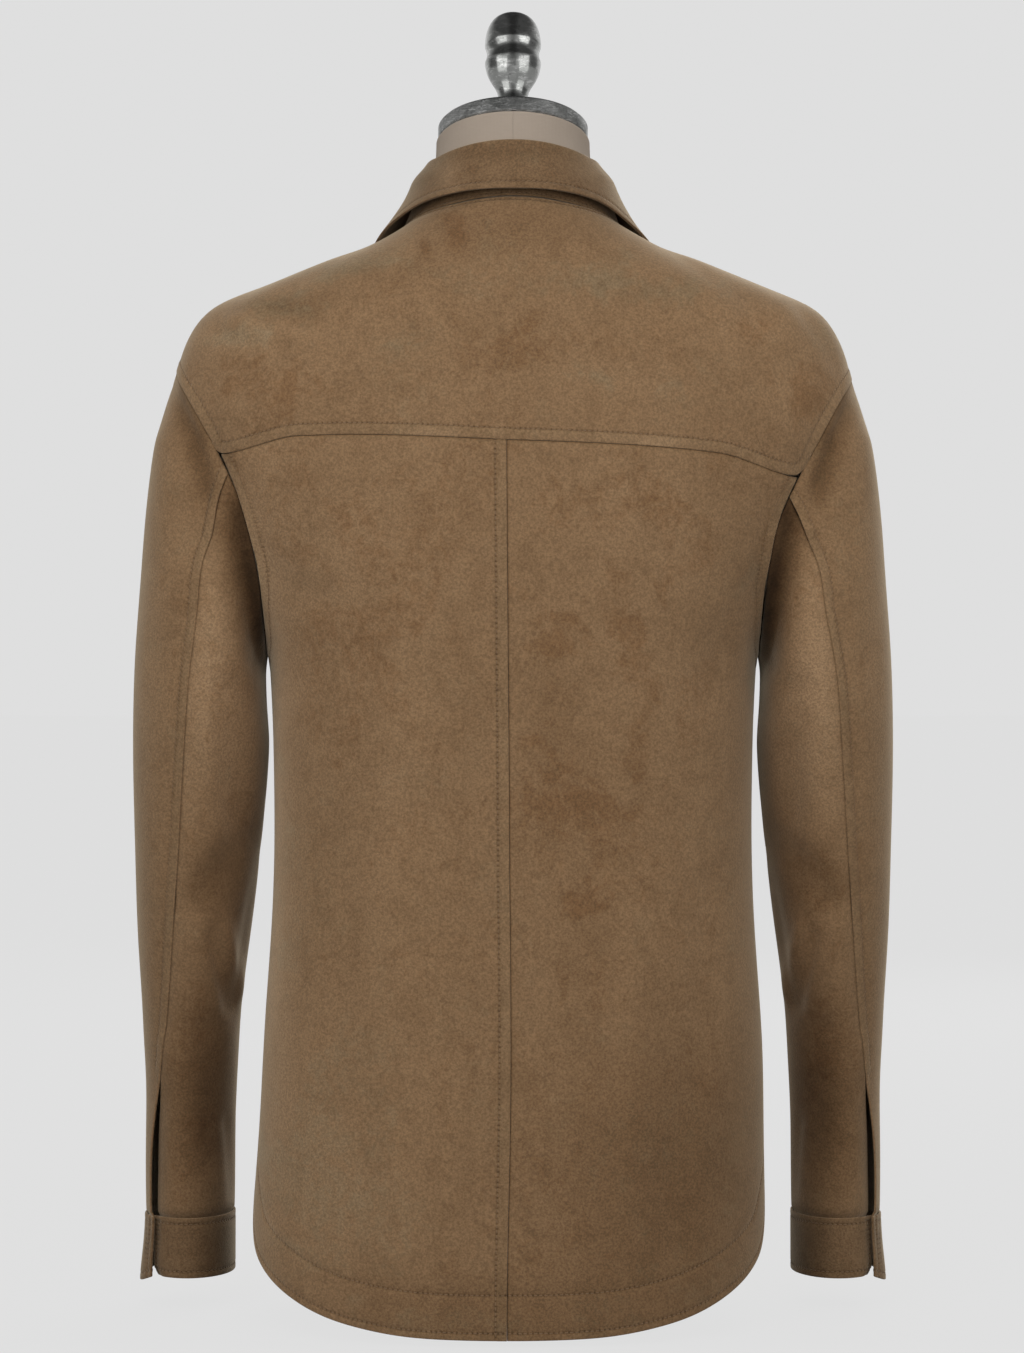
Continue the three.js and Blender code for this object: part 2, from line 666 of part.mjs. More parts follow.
/** Everything about one arm, worked out on the wearer's left. side is 1 or -1. */
function armOf(side) {
  const hole = armholePoints(side);
  const points = sleevePoints(hole);
  const seam = armholeSeam(hole, points);
  const outwards = { row: 8, column: 5, direction: new Vector3(1, 0, 0) };
  const sheet = sheetOf(points, outwards, closedSleeveRows);
  sheet[0] = seam.map(({ start, sleeveSide }) => ({ p: start, n: sleeveSide }));
  return { hole, seam, sheet };
}

const arms = { left: armOf(1), right: armOf(-1) };
const armOfSide = (side) => (side > 0 ? arms.left : arms.right);

function upperSleeve({ sheet }) {
  const part = sheet.map((row) => row.slice(0, sleeveFrontStation + 1));
  return trim(part, { bottom: seamGap / 2, left: seamGap / 2, right: seamGap / 2 });
}

function underSleeve({ sheet }) {
  const part = sheet.map((row) => row.slice(sleeveFrontStation));
  const right = (row) => (row < closedSleeveRows ? seamGap / 2 : ventSlit);
  return trim(part, { bottom: seamGap / 2, left: seamGap / 2, right });
}

function cuffSheet() {
  const points = cuffRings.map((ring) => {
    const row = armholeStations.map((_, column) => ellipsePoint(ring, columnAngle(ring, column)));
    row.push(ellipsePoint(ring, columnAngle(ring, armholeStations.length)));
    openVent(row, ventOnCuff, 1);
    openVent(row, cuffTip, ring.tip);
    return row;
  });
  const sheet = sheetOf(points, { row: 1, column: 7, direction: new Vector3(0.3, -1, 0) });
  return sheet.map((row) => row.map(({ p, n }) => ({ p: p.addScaledVector(n, cuffProud), n })));
}

// ---------------------------------------------------------------- seams of the body

/** The yoke seam from the centre-back seam to the armhole. */
function yokeSeam(side) {
  const corner = armOfSide(side).hole[yokeBackStation];
  const start = backSeamDrift * side;
  return steps(yokeColumns).map((t) => {
    if (t === 1) {
      return corner.clone();
    }
    const x = lerp(start, corner.x, t);
    const drop = yokeSeamDrop * Math.abs(x / corner.x) ** yokeSeamBend;
    const z = yokeSeamHeight + yokeSeamTilt * side * x - drop;
    return new Vector3(x, bodyY(x, z, true), z);
  });
}

/** The front shoulder seam from the neck to the armhole. */
function shoulderSeam(side) {
  const start = neckPoint(yokeNeckEnd);
  const end = armOfSide(side).hole[yokeFrontStation];
  return steps(shoulderRows).map((t) => {
    const place = start.clone().lerp(end, t);
    return t === 0 || t === 1 ? place : settle(place);
  });
}

/** The side seam from the underarm to the hem, without its first point. */
function sideSeam(side) {
  const top = armOfSide(side).hole[underarmStation];
  const bottom = backHemAt(0).z;
  return steps(sideSeamRows)
    .slice(1)
    .map((t) => {
      const z = lerp(top.z, bottom, t);
      return new Vector3(bodyAt(z).half, bodyAt(z).middle, z);
    });
}

/** Gives the patch's edge along the armhole the normals that it shares with the sleeve. */
function shareArmhole(sheet, seam, stations, cell) {
  stations.forEach((station, index) => {
    const [row, column] = cell(index);
    sheet[row][column].n = seam[station].bodySide.clone();
  });
}

const range = (from, to) => {
  const step = Math.sign(to - from);
  return Array.from({ length: Math.abs(to - from) + 1 }, (_, index) => from + index * step);
};

// ---------------------------------------------------------------- yoke, backs and fronts

function yokeSheet() {
  const halfOf = (side) => {
    const { hole, seam } = armOfSide(side);
    const stations = range(yokeFrontStation, yokeBackStation);
    const armhole = stations.map((station) => ({
      p: hole[station].clone(),
      n: seam[station].bodySide.clone(),
    }));
    const across = yokeSeam(side)
      .reverse()
      .slice(1)
      .map((p) => ({ p, n: bodyNormal(p) }));
    return { outer: [...armhole, ...across], shoulder: shoulderSeam(side) };
  };
  const armCells = yokeFrontStation - yokeBackStation;
  const turnPlace = yokeNeckEnd * yokeArmholeShare;
  const left = halfOf(1);
  const right = halfOf(-1);
  const rows = left.shoulder.length - 1;
  const rowsOfHalf = ({ outer, shoulder }) => {
    const backCells = outer.length - 1 - armCells;
    const places = outer.map((_, index) => {
      if (index <= armCells) {
        return lerp(yokeNeckEnd, turnPlace, index / armCells);
      }
      return lerp(turnPlace, 0, (index - armCells) / backCells);
    });
    return steps(rows).map((t, row) =>
      outer.map(({ p, n }, column) => {
        if (row === rows) {
          return { p, n };
        }
        const inner = neckPoint(places[column]);
        if (row === 0) {
          return { p: inner, n: bodyNormal(inner) };
        }
        const place = column === 0 ? shoulder[row].clone() : settle(inner.lerp(p, t));
        return { p: place, n: bodyNormal(place) };
      }),
    );
  };
  const leftRows = rowsOfHalf(left);
  const rightRows = mirrored(rowsOfHalf(right));
  const whole = leftRows.map((row, index) => [...row, ...rightRows[index].reverse().slice(1)]);
  return trim(whole, {
    top: seamGap / 2,
    bottom: seamGap / 2,
    left: seamGap / 2,
    right: seamGap / 2,
  });
}

function backSheet(side) {
  const { hole, seam } = armOfSide(side);
  const stations = [yokeBackStation, 0, ...range(armholeStations.length - 1, underarmStation)];
  const armRows = stations.length - 1;
  const top = yokeSeam(side);
  const right = [...stations.map((station) => hole[station].clone()), ...sideSeam(side)];
  const bottom = steps(top.length - 1).map((t) => {
    const angle = 90 * (1 - t);
    return ringPoint(angle, backHemAt(angle).z);
  });
  const topZ = top[0].z;
  const hemZ = bottom[0].z;
  const left = right.map((_, row) => {
    const upper = lerp(topZ, armRowHeight, row / armRows);
    const lower = lerp(armRowHeight, hemZ, (row - armRows) / (right.length - 1 - armRows));
    const z = row <= armRows ? upper : lower;
    const x = (backSeamDrift * side * (z - hemZ)) / (topZ - hemZ);
    return new Vector3(x, bodyY(x, z, true), z);
  });
  const sheet = layOnBody(fillPatch(top, bottom, left, right));
  shareArmhole(sheet, seam, stations, (index) => [index, top.length - 1]);
  return trim(sheet, { top: seamGap / 2, left: seamGap / 2, right: seamGap / 2 });
}

function frontSheet(side) {
  const { hole, seam } = armOfSide(side);
  const stations = range(yokeFrontStation, underarmStation);
  const armRows = stations.length - 1;
  const neck = steps(frontNeckColumns).map((t) => neckPoint(lerp(lastSection, yokeNeckEnd, t)));
  const top = [...neck, ...shoulderSeam(side).slice(1)];
  const right = [...stations.map((station) => hole[station].clone()), ...sideSeam(side)];
  const lapAngle = 90 + THREE.MathUtils.radToDeg((placketLap / bodyAt(0).half) ** (roundness / 2));
  const bottom = steps(top.length - 1).map((t) => {
    const angle = lapAngle * (1 - t);
    return ringPoint(-angle, frontHemAt(angle).z);
  });
  const neckZ = top[0].z;
  const hemZ = bottom[0].z;
  const left = right.map((_, row) => {
    if (row === 0) {
      return top[0].clone();
    }
    const opening = row <= openFrontRows ? 1 - row / openFrontRows : 0;
    let z = lerp(openingFoot, neckZ, opening);
    if (row > openFrontRows) {
      z = lerp(openingFoot, armRowHeight, (row - openFrontRows) / (armRows - openFrontRows));
    }
    if (row > armRows) {
      z = lerp(armRowHeight, hemZ, (row - armRows) / (right.length - 1 - armRows));
    }
    const x = lerp(-placketLap, top[0].x, opening);
    return new Vector3(x, bodyY(x, z, false), z);
  });
  bottom[0].copy(left[left.length - 1]);
  const sheet = layOnBody(fillPatch(top, bottom, left, right));
  shareArmhole(sheet, seam, stations, (index) => [index, top.length - 1]);
  return trim(sheet, { top: seamGap / 2, right: seamGap / 2 });
}

/** Draws the under front in beneath the other one. */
function tuckUnder(sheet) {
  return sheet.map((row) =>
    row.map(({ p, n }) => {
      const share = 1 - smoothstep(p.x, placketTuck.start, placketTuck.end);
      const low = 1 - smoothstep(p.z, placketTop.start, placketTop.end);
      return { p: p.clone().addScaledVector(n, -placketDrop * share * low), n };
    }),
  );
}

// ---------------------------------------------------------------- collar

const collarPlaces = range(-collarSteps, collarSteps).map((i) => (i / collarSteps) * lastSection);

function standSheet() {
  const rows = steps(standRows).map((t) =>
    collarPlaces.map((place) => {
      const fold = onCollar(foldCurve, place);
      const seam = neckPoint(place);
      const rise = fold.clone().sub(seam).normalize();
      const body = bodyNormal(seam);
      const across = rise.clone().addScaledVector(body, -rise.dot(body)).normalize();
      seam.addScaledVector(across, neckSeamGap).addScaledVector(rise, neckSeamGap);
      return seam.lerp(fold, t);
    }),
  );
  const outwards = { row: 1, column: collarSteps, direction: new Vector3(0, 1, 0) };
  return sheetOf(rows, outwards);
}

function leafSheet(stand) {
  const top = stand[stand.length - 1];
  const below = stand[stand.length - 2];
  const radius = foldGap + leafCloth;
  const columns = top.map(({ p, n }, index) => {
    const rise = p.clone().sub(below[index].p);
    rise.addScaledVector(n, -rise.dot(n)).normalize();
    const centre = p.clone().addScaledVector(rise, neckSeamGap).addScaledVector(n, foldGap);
    const roll = rollAngles.map((angle) =>
      centre
        .clone()
        .addScaledVector(n, radius * Math.cos(degToRad(angle)))
        .addScaledVector(rise, radius * Math.sin(degToRad(angle))),
    );
    const start = roll[roll.length - 1];
    const end = onCollar(edgeCurve, collarPlaces[index]);
    const bend = start.clone().addScaledVector(rise, -leafSpring * start.distanceTo(end));
    const fall = new THREE.QuadraticBezierCurve3(start, bend, end);
    const rows = steps(leafFallRows).slice(1);
    return [...roll, ...rows.map((t) => fall.getPoint(t))];
  });
  const points = columns[0].map((_, row) => columns.map((column) => column[row]));
  const lastRow = points.length - 1;
  const outwards = { row: lastRow, column: collarSteps, direction: new Vector3(0, 1, 0) };
  const sheet = sheetOf(points, outwards);
  sheet[0] = sheet[0].map((spot, index) => ({ p: spot.p, n: top[index].n.clone().negate() }));
  return sheet;
}

// ---------------------------------------------------------------- dress form

/** A closed solid from rings of points, with a fan at each end. */
function solidOfRings(rings) {
  const count = rings[0].length;
  const points = rings.flat();
  const triangles = [];
  for (let r = 0; r < rings.length - 1; r += 1) {
    for (let c = 0; c < count; c += 1) {
      const a = r * count + c;
      const b = r * count + ((c + 1) % count);
      triangles.push([a, b, b + count], [a, b + count, a + count]);
    }
  }
  for (const r of [0, rings.length - 1]) {
    const middle = new Vector3();
    rings[r].forEach((point) => middle.addScaledVector(point, 1 / count));
    points.push(middle);
    for (let c = 0; c < count; c += 1) {
      const a = r * count + c;
      const b = r * count + ((c + 1) % count);
      triangles.push(r === 0 ? [points.length - 1, b, a] : [points.length - 1, a, b]);
    }
  }
  return closedGeometry(points, triangles);
}

/** The neck opening as a closed loop that starts at the centre front. */
function neckLoop() {
  return new THREE.CatmullRomCurve3([settle(neckFront), ...neckCurve.points], true);
}

function formPoint(place) {
  const { start, end } = chestAllowance;
  const chest = place.y < 0 ? 1 - smoothstep(Math.abs(place.x), start, end) : 0;
  const gap = formClearanceAt(place.z).gap + placketDrop * chest;
  const point = place.clone().addScaledVector(bodyNormal(place), -gap);
  const beyond = Math.max(0, Math.abs(point.x) - shoulderCap.start);
  point.x -= Math.sign(point.x) * beyond * (1 - shoulderCap.squeeze);
  return point;
}

function formRings() {
  const loop = neckLoop();
  const angles = steps(formColumns).slice(0, -1).map((t) => 360 * t);
  const levels = formLevels.map((z) => angles.map((angle) => ringPoint(angle, z)));
  const shoulder = levels[levels.length - 1];
  const neck = angles.map((angle) => {
    const turn = THREE.MathUtils.euclideanModulo(0.5 - (angle - 90) / 360, 1);
    const place = loop.getPointAt(turn);
    const inward = new Vector3(0, 0, place.z).sub(place).normalize();
    return place.addScaledVector(inward, formNeckInset);
  });
  const crown = steps(formCrownRows)
    .slice(1)
    .map((t) => shoulder.map((place, index) => settle(place.clone().lerp(neck[index], t))));
  const rings = [...levels, ...crown].map((ring) => ring.map(formPoint));
  rings[0].forEach((point) => {
    point.z = formFloor;
  });
  return rings;
}

function neckRings(torsoTop) {
  const axis = new Vector3(0, -Math.sin(capTilt), Math.cos(capTilt));
  const tiltedY = new Vector3(0, Math.cos(capTilt), Math.sin(capTilt));
  const underside = capCentre.clone().addScaledVector(axis, -capThickness / 2 - seamGap);
  const starts = torsoTop.map((point) => point.clone().add(new Vector3(0, 0, neckLift)));
  const columns = starts.map((start) => {
    const depth = underside.clone().sub(start).dot(axis);
    const angle = Math.atan2(start.clone().sub(underside).dot(tiltedY), start.x);
    const circlePoint = (down) =>
      underside
        .clone()
        .addScaledVector(axis, -down)
        .add(new Vector3(neckRadius * Math.cos(angle), 0, 0))
        .addScaledVector(tiltedY, neckRadius * Math.sin(angle));
    const spread = start.clone().sub(circlePoint(depth));
    return neckRows.map((t) => circlePoint(depth * (1 - t)).addScaledVector(spread, (1 - t) ** neckFlare));
  });
  return neckRows.map((_, row) => columns.map((column) => column[row]));
}

/** A turned solid about the Z axis. */
function turned(profile, sides) {
  const points = profile.map(([radius, height]) => new THREE.Vector2(radius, height));
  const lathe = new THREE.LatheGeometry(points, sides);
  lathe.rotateX(Math.PI / 2);
  return lathe;
}

// ---------------------------------------------------------------- materials and assembly

const suedeLook = { color: 0x8b6b4a, roughness: 0.95, metalness: 0 };
const canvasLook = { color: 0xc3b6a4, roughness: 0.9, metalness: 0 };
const pewterLook = { color: 0x8a8c8e, roughness: 0.35, metalness: 1 };
const steelLook = { color: 0x77797c, roughness: 0.4, metalness: 1 };
const buttonLook = { color: 0x4a3526, roughness: 0.45, metalness: 0 };

const garment = new THREE.Group();

function add(name, geometry, look) {
  const mesh = new THREE.Mesh(geometry, new THREE.MeshStandardMaterial(look));
  mesh.name = name;
  garment.add(mesh);
  return mesh;
}

add('yoke', wallOf(yokeSheet(), suede), suedeLook);
add('back_left', wallOf(backSheet(1), suede), suedeLook);
add('back_right', wallOf(mirrored(backSheet(-1)), suede), suedeLook);
add('front_left', wallOf(frontSheet(1), suede), suedeLook);
add('front_right', wallOf(mirrored(tuckUnder(frontSheet(-1))), suede), suedeLook);

const stand = standSheet();
add('collar_stand', wallOf(stand, standCloth), suedeLook);
add('collar_leaf', wallOf(leafSheet(stand), leafCloth), suedeLook);

add('upper_sleeve_left', wallOf(upperSleeve(arms.left), suede), suedeLook);
add('under_sleeve_left', wallOf(underSleeve(arms.left), suede), suedeLook);
add('upper_sleeve_right', wallOf(mirrored(upperSleeve(arms.right)), suede), suedeLook);
add('under_sleeve_right', wallOf(mirrored(underSleeve(arms.right)), suede), suedeLook);
add('cuff_left', wallOf(cuffSheet(), cuffCloth), suedeLook);
add('cuff_right', wallOf(mirrored(cuffSheet()), cuffCloth), suedeLook);

buttonHeights.forEach((z, index) => {
  const place = new Vector3(0, bodyY(0, z, false), z);
  const outwards = bodyNormal(place);
  const button = add(`button_${index + 1}`, turned(buttonProfile, 14), buttonLook);
  button.position.copy(place.addScaledVector(outwards, seamGap));
  button.quaternion.setFromUnitVectors(new Vector3(0, 0, 1), outwards);
});

const torso = formRings();
add('form_torso', solidOfRings(torso), canvasLook);
add('form_neck', solidOfRings(neckRings(torso[torso.length - 1])), canvasLook);

const cap = add('neck_cap', turned(capProfile, 40), pewterLook);
cap.position.copy(capCentre);
cap.rotation.x = capTilt;
const finial = add('finial', turned(finialProfile, finialSides), pewterLook);
const capAxis = new Vector3(0, -Math.sin(capTilt), Math.cos(capTilt));
finial.position.copy(capCentre).addScaledVector(capAxis, capThickness / 2 + seamGap);
finial.rotation.x = capTilt;

const poleLength = formFloor - footHeight - 2 * seamGap;
const poleProfile = [[0, 0], [poleRadius, 0], [poleRadius, poleLength], [0, poleLength]];
const pole = add('form_pole', turned(poleProfile, 20), steelLook);
pole.position.z = footHeight + seamGap;
add('form_foot', turned(footProfile, 40), steelLook);

export default garment;
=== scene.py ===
"""A suede shirt jacket on a limbless dress form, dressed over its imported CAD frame."""

import math

import bmesh
import bpy
import numpy as np
from mathutils import Matrix, Vector


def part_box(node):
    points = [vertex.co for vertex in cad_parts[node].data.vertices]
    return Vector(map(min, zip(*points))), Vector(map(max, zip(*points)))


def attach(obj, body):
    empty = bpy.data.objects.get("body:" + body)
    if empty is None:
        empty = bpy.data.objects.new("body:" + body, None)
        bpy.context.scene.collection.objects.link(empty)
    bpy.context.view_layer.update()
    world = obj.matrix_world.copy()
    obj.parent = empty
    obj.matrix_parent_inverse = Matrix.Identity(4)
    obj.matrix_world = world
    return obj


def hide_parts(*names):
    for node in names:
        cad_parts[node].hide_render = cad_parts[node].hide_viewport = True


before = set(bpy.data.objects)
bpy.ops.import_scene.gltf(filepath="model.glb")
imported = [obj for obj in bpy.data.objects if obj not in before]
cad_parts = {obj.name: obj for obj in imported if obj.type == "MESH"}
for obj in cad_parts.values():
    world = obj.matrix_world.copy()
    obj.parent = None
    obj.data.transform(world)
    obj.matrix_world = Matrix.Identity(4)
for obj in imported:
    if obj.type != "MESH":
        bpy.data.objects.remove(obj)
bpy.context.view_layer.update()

bl_info = {
    "name": "Suede Shirt Jacket",
    "version": (1, 0, 0),
    "blender": (4, 5, 0),
    "location": "View3D > Sidebar > Jacket",
    "description": "Makes a suede shirt jacket on a dress form around its packed frame",
    "category": "Add Mesh",
}

# ------------------------------------------------------------------ tables and small helpers

def table(columns, rows):
    """Rows of values as dictionaries that share these named columns."""
    names = columns.split()
    return [dict(zip(names, row)) for row in rows]


def named_table(columns, rows):
    """The same for rows that have a name each."""
    return dict(zip(rows, table(columns, rows.values())))


def smoothstep(x, low, high):
    share = np.clip((x - low) / (high - low), 0.0, 1.0)
    return share * share * (3.0 - 2.0 * share)


def bell(x, middle, reach):
    """1 at the middle, dying away over the reach to both sides."""
    return np.exp(-(((x - middle) / reach) ** 2))


def unit(vectors):
    return vectors / np.maximum(np.linalg.norm(vectors, axis=-1, keepdims=True), 1e-12)


def side_of(name):
    """1 for a left piece, -1 for a right one."""
    return -1 if name.endswith("right") else 1


def line_distance(points, line):
    """The distance of every point of a grid from a line of points."""
    flat = points.reshape(-1, points.shape[2])
    best = np.full(len(flat), np.inf)
    for a, b in zip(line[:-1], line[1:]):
        along = b - a
        share = np.clip((flat - a) @ along / max(along @ along, 1e-18), 0.0, 1.0)
        gap = flat - a - share[:, None] * along
        np.minimum(best, np.einsum("ij,ij->i", gap, gap), out=best)
    return np.sqrt(best).reshape(points.shape[:2])


def scene_object(name, bm, *materials):
    """Turns a bmesh into a new object in the scene, shaded smooth, and frees the bmesh."""
    mesh = bpy.data.meshes.new(name)
    bm.to_mesh(mesh)
    bm.free()
    mesh.polygons.foreach_set("use_smooth", [True] * len(mesh.polygons))
    for material in materials:
        mesh.materials.append(material)
    piece = bpy.data.objects.new(name, mesh)
    bpy.context.scene.collection.objects.link(piece)
    return piece


def smooth_by(piece, levels):
    smooth = piece.modifiers.new("smooth", "SUBSURF")
    smooth.levels = smooth.render_levels = levels
    return smooth


def node_mesh(node):
    """A bmesh of a CAD node's own shape, with its loose triangles merged."""
    bm = bmesh.new()
    bm.from_mesh(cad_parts[node].data)
    bmesh.ops.remove_doubles(bm, verts=bm.verts, dist=WELD)
    return bm


# ------------------------------------------------------------------ sizes in metres

WELD = 2e-5
TINY = 1e-6
SEAM_WELD = 7e-4  # seam partners are this close at most
RIM_SLACK = 6e-6  # how far a rim's edge may differ from the wall's thickness
CLOTH_LEVELS = 3
CELLS = 2**CLOTH_LEVELS  # fine cells along each coarse cell
FITTING_LEVELS = 2
FITTING_ROUNDS = 3
SLEEVE_SLICE = 0.03  # half the height of the slice of a sleeve whose middle is its heart
SEAM_FADE = 14  # fine rows over which a corrected edge dies away
PIECE_OF_GRID = 100  # the net's UV map holds the panel's number times this, plus the column
FACES_APART = 4  # every so many faces are enough to tell an outer sheet from an inner one
BODY_WALL = 0.0012

# Rows and columns of each panel's grid, the axis that its columns run along from high to low,
# and the wall thickness. Row 0 is the top.
PANELS = named_table("rows columns across wall", {
    "yoke": (6, 30, 0, BODY_WALL),
    "back_left": (19, 9, 0, BODY_WALL),
    "back_right": (19, 9, 0, BODY_WALL),
    "front_left": (21, 10, 0, BODY_WALL),
    "front_right": (21, 10, 0, BODY_WALL),
    "upper_sleeve_left": (16, 14, 1, BODY_WALL),
    "under_sleeve_left": (16, 10, 1, BODY_WALL),
    "upper_sleeve_right": (16, 14, 1, BODY_WALL),
    "under_sleeve_right": (16, 10, 1, BODY_WALL),
    "collar_stand": (3, 28, 0, 0.0014),
    "collar_leaf": (8, 28, 0, 0.0016),
    "cuff_left": (2, 24, 1, 0.0018),
    "cuff_right": (2, 24, 1, 0.0018),
})
COAT = [name for name in PANELS if not name.startswith(("collar", "cuff"))]
# The marks that colour the suede. Line is painted shade along the seams; dark, deeper above zero
# and lighter below it, is partly the nap's own colour and partly painted shade and painted
# highlights.
MARKS = ("rub", "line", "band", "row_x", "row_y", "travel_x", "travel_y", "warm", "dark")


# ------------------------------------------------------------------ grids of cloth

def heart_of(node, height):
    """A point inside the garment that faces the inner side of this node's cloth."""
    if "sleeve" not in node and "cuff" not in node:
        return Vector((0.0, 0.0, height))
    side = node.rsplit("_", 1)[1]
    near = [
        v.co
        for kind in ("upper_sleeve_", "under_sleeve_", "cuff_")
        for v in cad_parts[kind + side].data.vertices
        if abs(v.co.z - height) < SLEEVE_SLICE
    ]
    return sum(near, Vector()) / len(near)


def islands(bm):
    """The bmesh's faces, sorted into connected groups."""
    left, groups = set(bm.faces), []
    while left:
        stack, group = [left.pop()], []
        while stack:
            face = stack.pop()
            group.append(face)
            for edge in face.edges:
                for other in edge.link_faces:
                    if other in left:
                        left.remove(other)
                        stack.append(other)
        groups.append(group)
    return groups


def facing_out(node, faces):
    """How far a group of faces looks away from the inside of the garment."""
    total = 0.0
    for face in faces[::FACES_APART]:
        middle = face.calc_center_median()
        away = middle - heart_of(node, middle.z)
        total += face.calc_area() * face.normal.dot(away.normalized())
    return total


def lattice(faces):
    """Grid places of the vertices of a sheet whose cells are all split the same way."""
    chosen = set(faces)
    corner = next(
        v
        for f in faces
        for v in f.verts
        if len([e for e in v.link_edges if any(g in chosen for g in e.link_faces)]) == 2
    )
    first = next(f for f in corner.link_faces if f in chosen)
    start = next(i for i, loop in enumerate(first.loops) if loop.vert == corner)
    loops = [first.loops[(start + k) % 3] for k in range(3)]
    order = ["a", "diagonal", "b"]
    follow = {order[k]: order[(k + 1) % 3] for k in range(3)}
    step = {"a": (1, 0), "b": (0, 1), "diagonal": (1, -1)}
    kinds = {loops[k].edge: order[k] for k in range(3)}
    place = {loops[0].vert: (0, 0), loops[1].vert: (1, 0), loops[2].vert: (0, 1)}
    stack, done = [first], {first}
    while stack:
        face = stack.pop()
        for loop in face.loops:
            for other in loop.edge.link_faces:
                if other in done or other not in chosen:
                    continue
                done.add(other)
                stack.append(other)
                loops = list(other.loops)
                shared = next(k for k in range(3) if loops[k].edge == loop.edge)
                kind = kinds[loop.edge]
                ring = [loops[(shared + k) % 3] for k in range(3)]
                for k in (1, 2):
                    kind = follow[kind]
                    kinds[ring[k].edge] = kind
                p, q, r = ring[0].vert, ring[1].vert, ring[2].vert
                if r in place:
                    continue
                qr, rp = step[kinds[ring[1].edge]], step[kinds[ring[2].edge]]
                for s in (1, -1):
                    for t in (1, -1):
                        spot = (place[q][0] + s * qr[0], place[q][1] + s * qr[1])
                        if spot == (place[p][0] + t * rp[0], place[p][1] + t * rp[1]):
                            place[r] = spot
    return place


def outer_grid(node):
    """The outer face of a cloth node, as an array of rows by columns by three."""
    facts = PANELS[node]
    bm = node_mesh(node)
    bm.normal_update()
    links = [e for e in bm.edges if abs(e.calc_length() - facts["wall"]) < RIM_SLACK]
    rim = list({f for e in links for f in e.link_faces})
    bmesh.ops.delete(bm, geom=rim, context="FACES")
    sheets = sorted(islands(bm), key=lambda faces: facing_out(node, faces))
    if len(sheets) != 2:
        raise RuntimeError(f"{node} should have an outer and an inner face")
    place = lattice(sheets[-1])
    low = np.min(list(place.values()), axis=0)
    size = np.max(list(place.values()), axis=0) - low + 1
    grid = np.zeros((size[0], size[1], 3))
    for vert, spot in place.items():
        grid[spot[0] - low[0], spot[1] - low[1]] = vert.co
    bm.free()
    if grid.shape[0] != facts["rows"] + 1:
        grid = grid.transpose(1, 0, 2)
    if grid.shape[:2] != (facts["rows"] + 1, facts["columns"] + 1):
        raise RuntimeError(f"{node} has a grid of {grid.shape}")
    if grid[0, :, 2].mean() < grid[-1, :, 2].mean():
        grid = grid[::-1]
    if grid[:, 0, facts["across"]].mean() < grid[:, -1, facts["across"]].mean():
        grid = grid[:, ::-1]
    return grid


def net_object(grids, weld):
    """One welded net of these coarse grids, with a UV map that says which cell is where."""
    bm = bmesh.new()
    uv = bm.loops.layers.uv.new("grid")
    for number, grid in enumerate(grids.values()):
        rows, columns = grid.shape[:2]
        verts = [[bm.verts.new(grid[r, c]) for c in range(columns)] for r in range(rows)]
        for r in range(rows - 1):
            for c in range(columns - 1):
                spots = [(r, c), (r, c + 1), (r + 1, c + 1), (r + 1, c)]
                face = bm.faces.new([verts[i][j] for i, j in spots])
                for loop, (i, j) in zip(face.loops, spots):
                    loop[uv].uv = (j + PIECE_OF_GRID * number, i)
    bmesh.ops.remove_doubles(bm, verts=bm.verts, dist=weld)
    bmesh.ops.recalc_face_normals(bm, faces=bm.faces)
    return scene_object("net", bm)


def smoothed_grids(grids, weld, levels):
    """The grids after a smooth subdivision of the net that they make together."""
    net = net_object(grids, weld)
    smooth = smooth_by(net, levels)
    smooth.uv_smooth = "NONE"
    smooth.boundary_smooth = "PRESERVE_CORNERS"
    graph = bpy.context.evaluated_depsgraph_get()
    fine = bpy.data.meshes.new_from_object(net.evaluated_get(graph))
    points = np.zeros(len(fine.vertices) * 3)
    fine.vertices.foreach_get("co", points)
    corners = np.zeros(len(fine.loops), int)
    fine.loops.foreach_get("vertex_index", corners)
    spots = np.zeros(len(fine.loops) * 2)
    fine.uv_layers["grid"].data.foreach_get("uv", spots)
    points, spots = points.reshape(-1, 3), spots.reshape(-1, 2)
    coarse = net.data
    bpy.data.objects.remove(net)
    bpy.data.meshes.remove(coarse)
    bpy.data.meshes.remove(fine)
    cells = 2**levels
    found = {}
    for number, name in enumerate(grids):
        low = PIECE_OF_GRID * number - 0.5
        mine = (spots[:, 0] > low) & (spots[:, 0] < low + PIECE_OF_GRID)
        columns = np.rint((spots[mine, 0] - PIECE_OF_GRID * number) * cells).astype(int)
        rows = np.rint(spots[mine, 1] * cells).astype(int)
        grid = np.full((rows.max() + 1, columns.max() + 1, 3), np.nan)
        grid[rows, columns] = points[corners[mine]]
        if np.isnan(grid).any():
            raise RuntimeError(f"{name}: the refined grid has holes")
        found[name] = grid
    return found


def refined(names, weld):
    """Smooth fine grids of these panels that pass through the points of the CAD's own grids."""
    aims = {name: outer_grid(name) for name in names}
    held = {name: grid.copy() for name, grid in aims.items()}
    for _ in range(FITTING_ROUNDS):
        reached = smoothed_grids(held, weld, FITTING_LEVELS)
        step = 2**FITTING_LEVELS
        for name in names:
            held[name] += aims[name] - reached[name][::step, ::step]
    return smoothed_grids(held, weld, CLOTH_LEVELS)


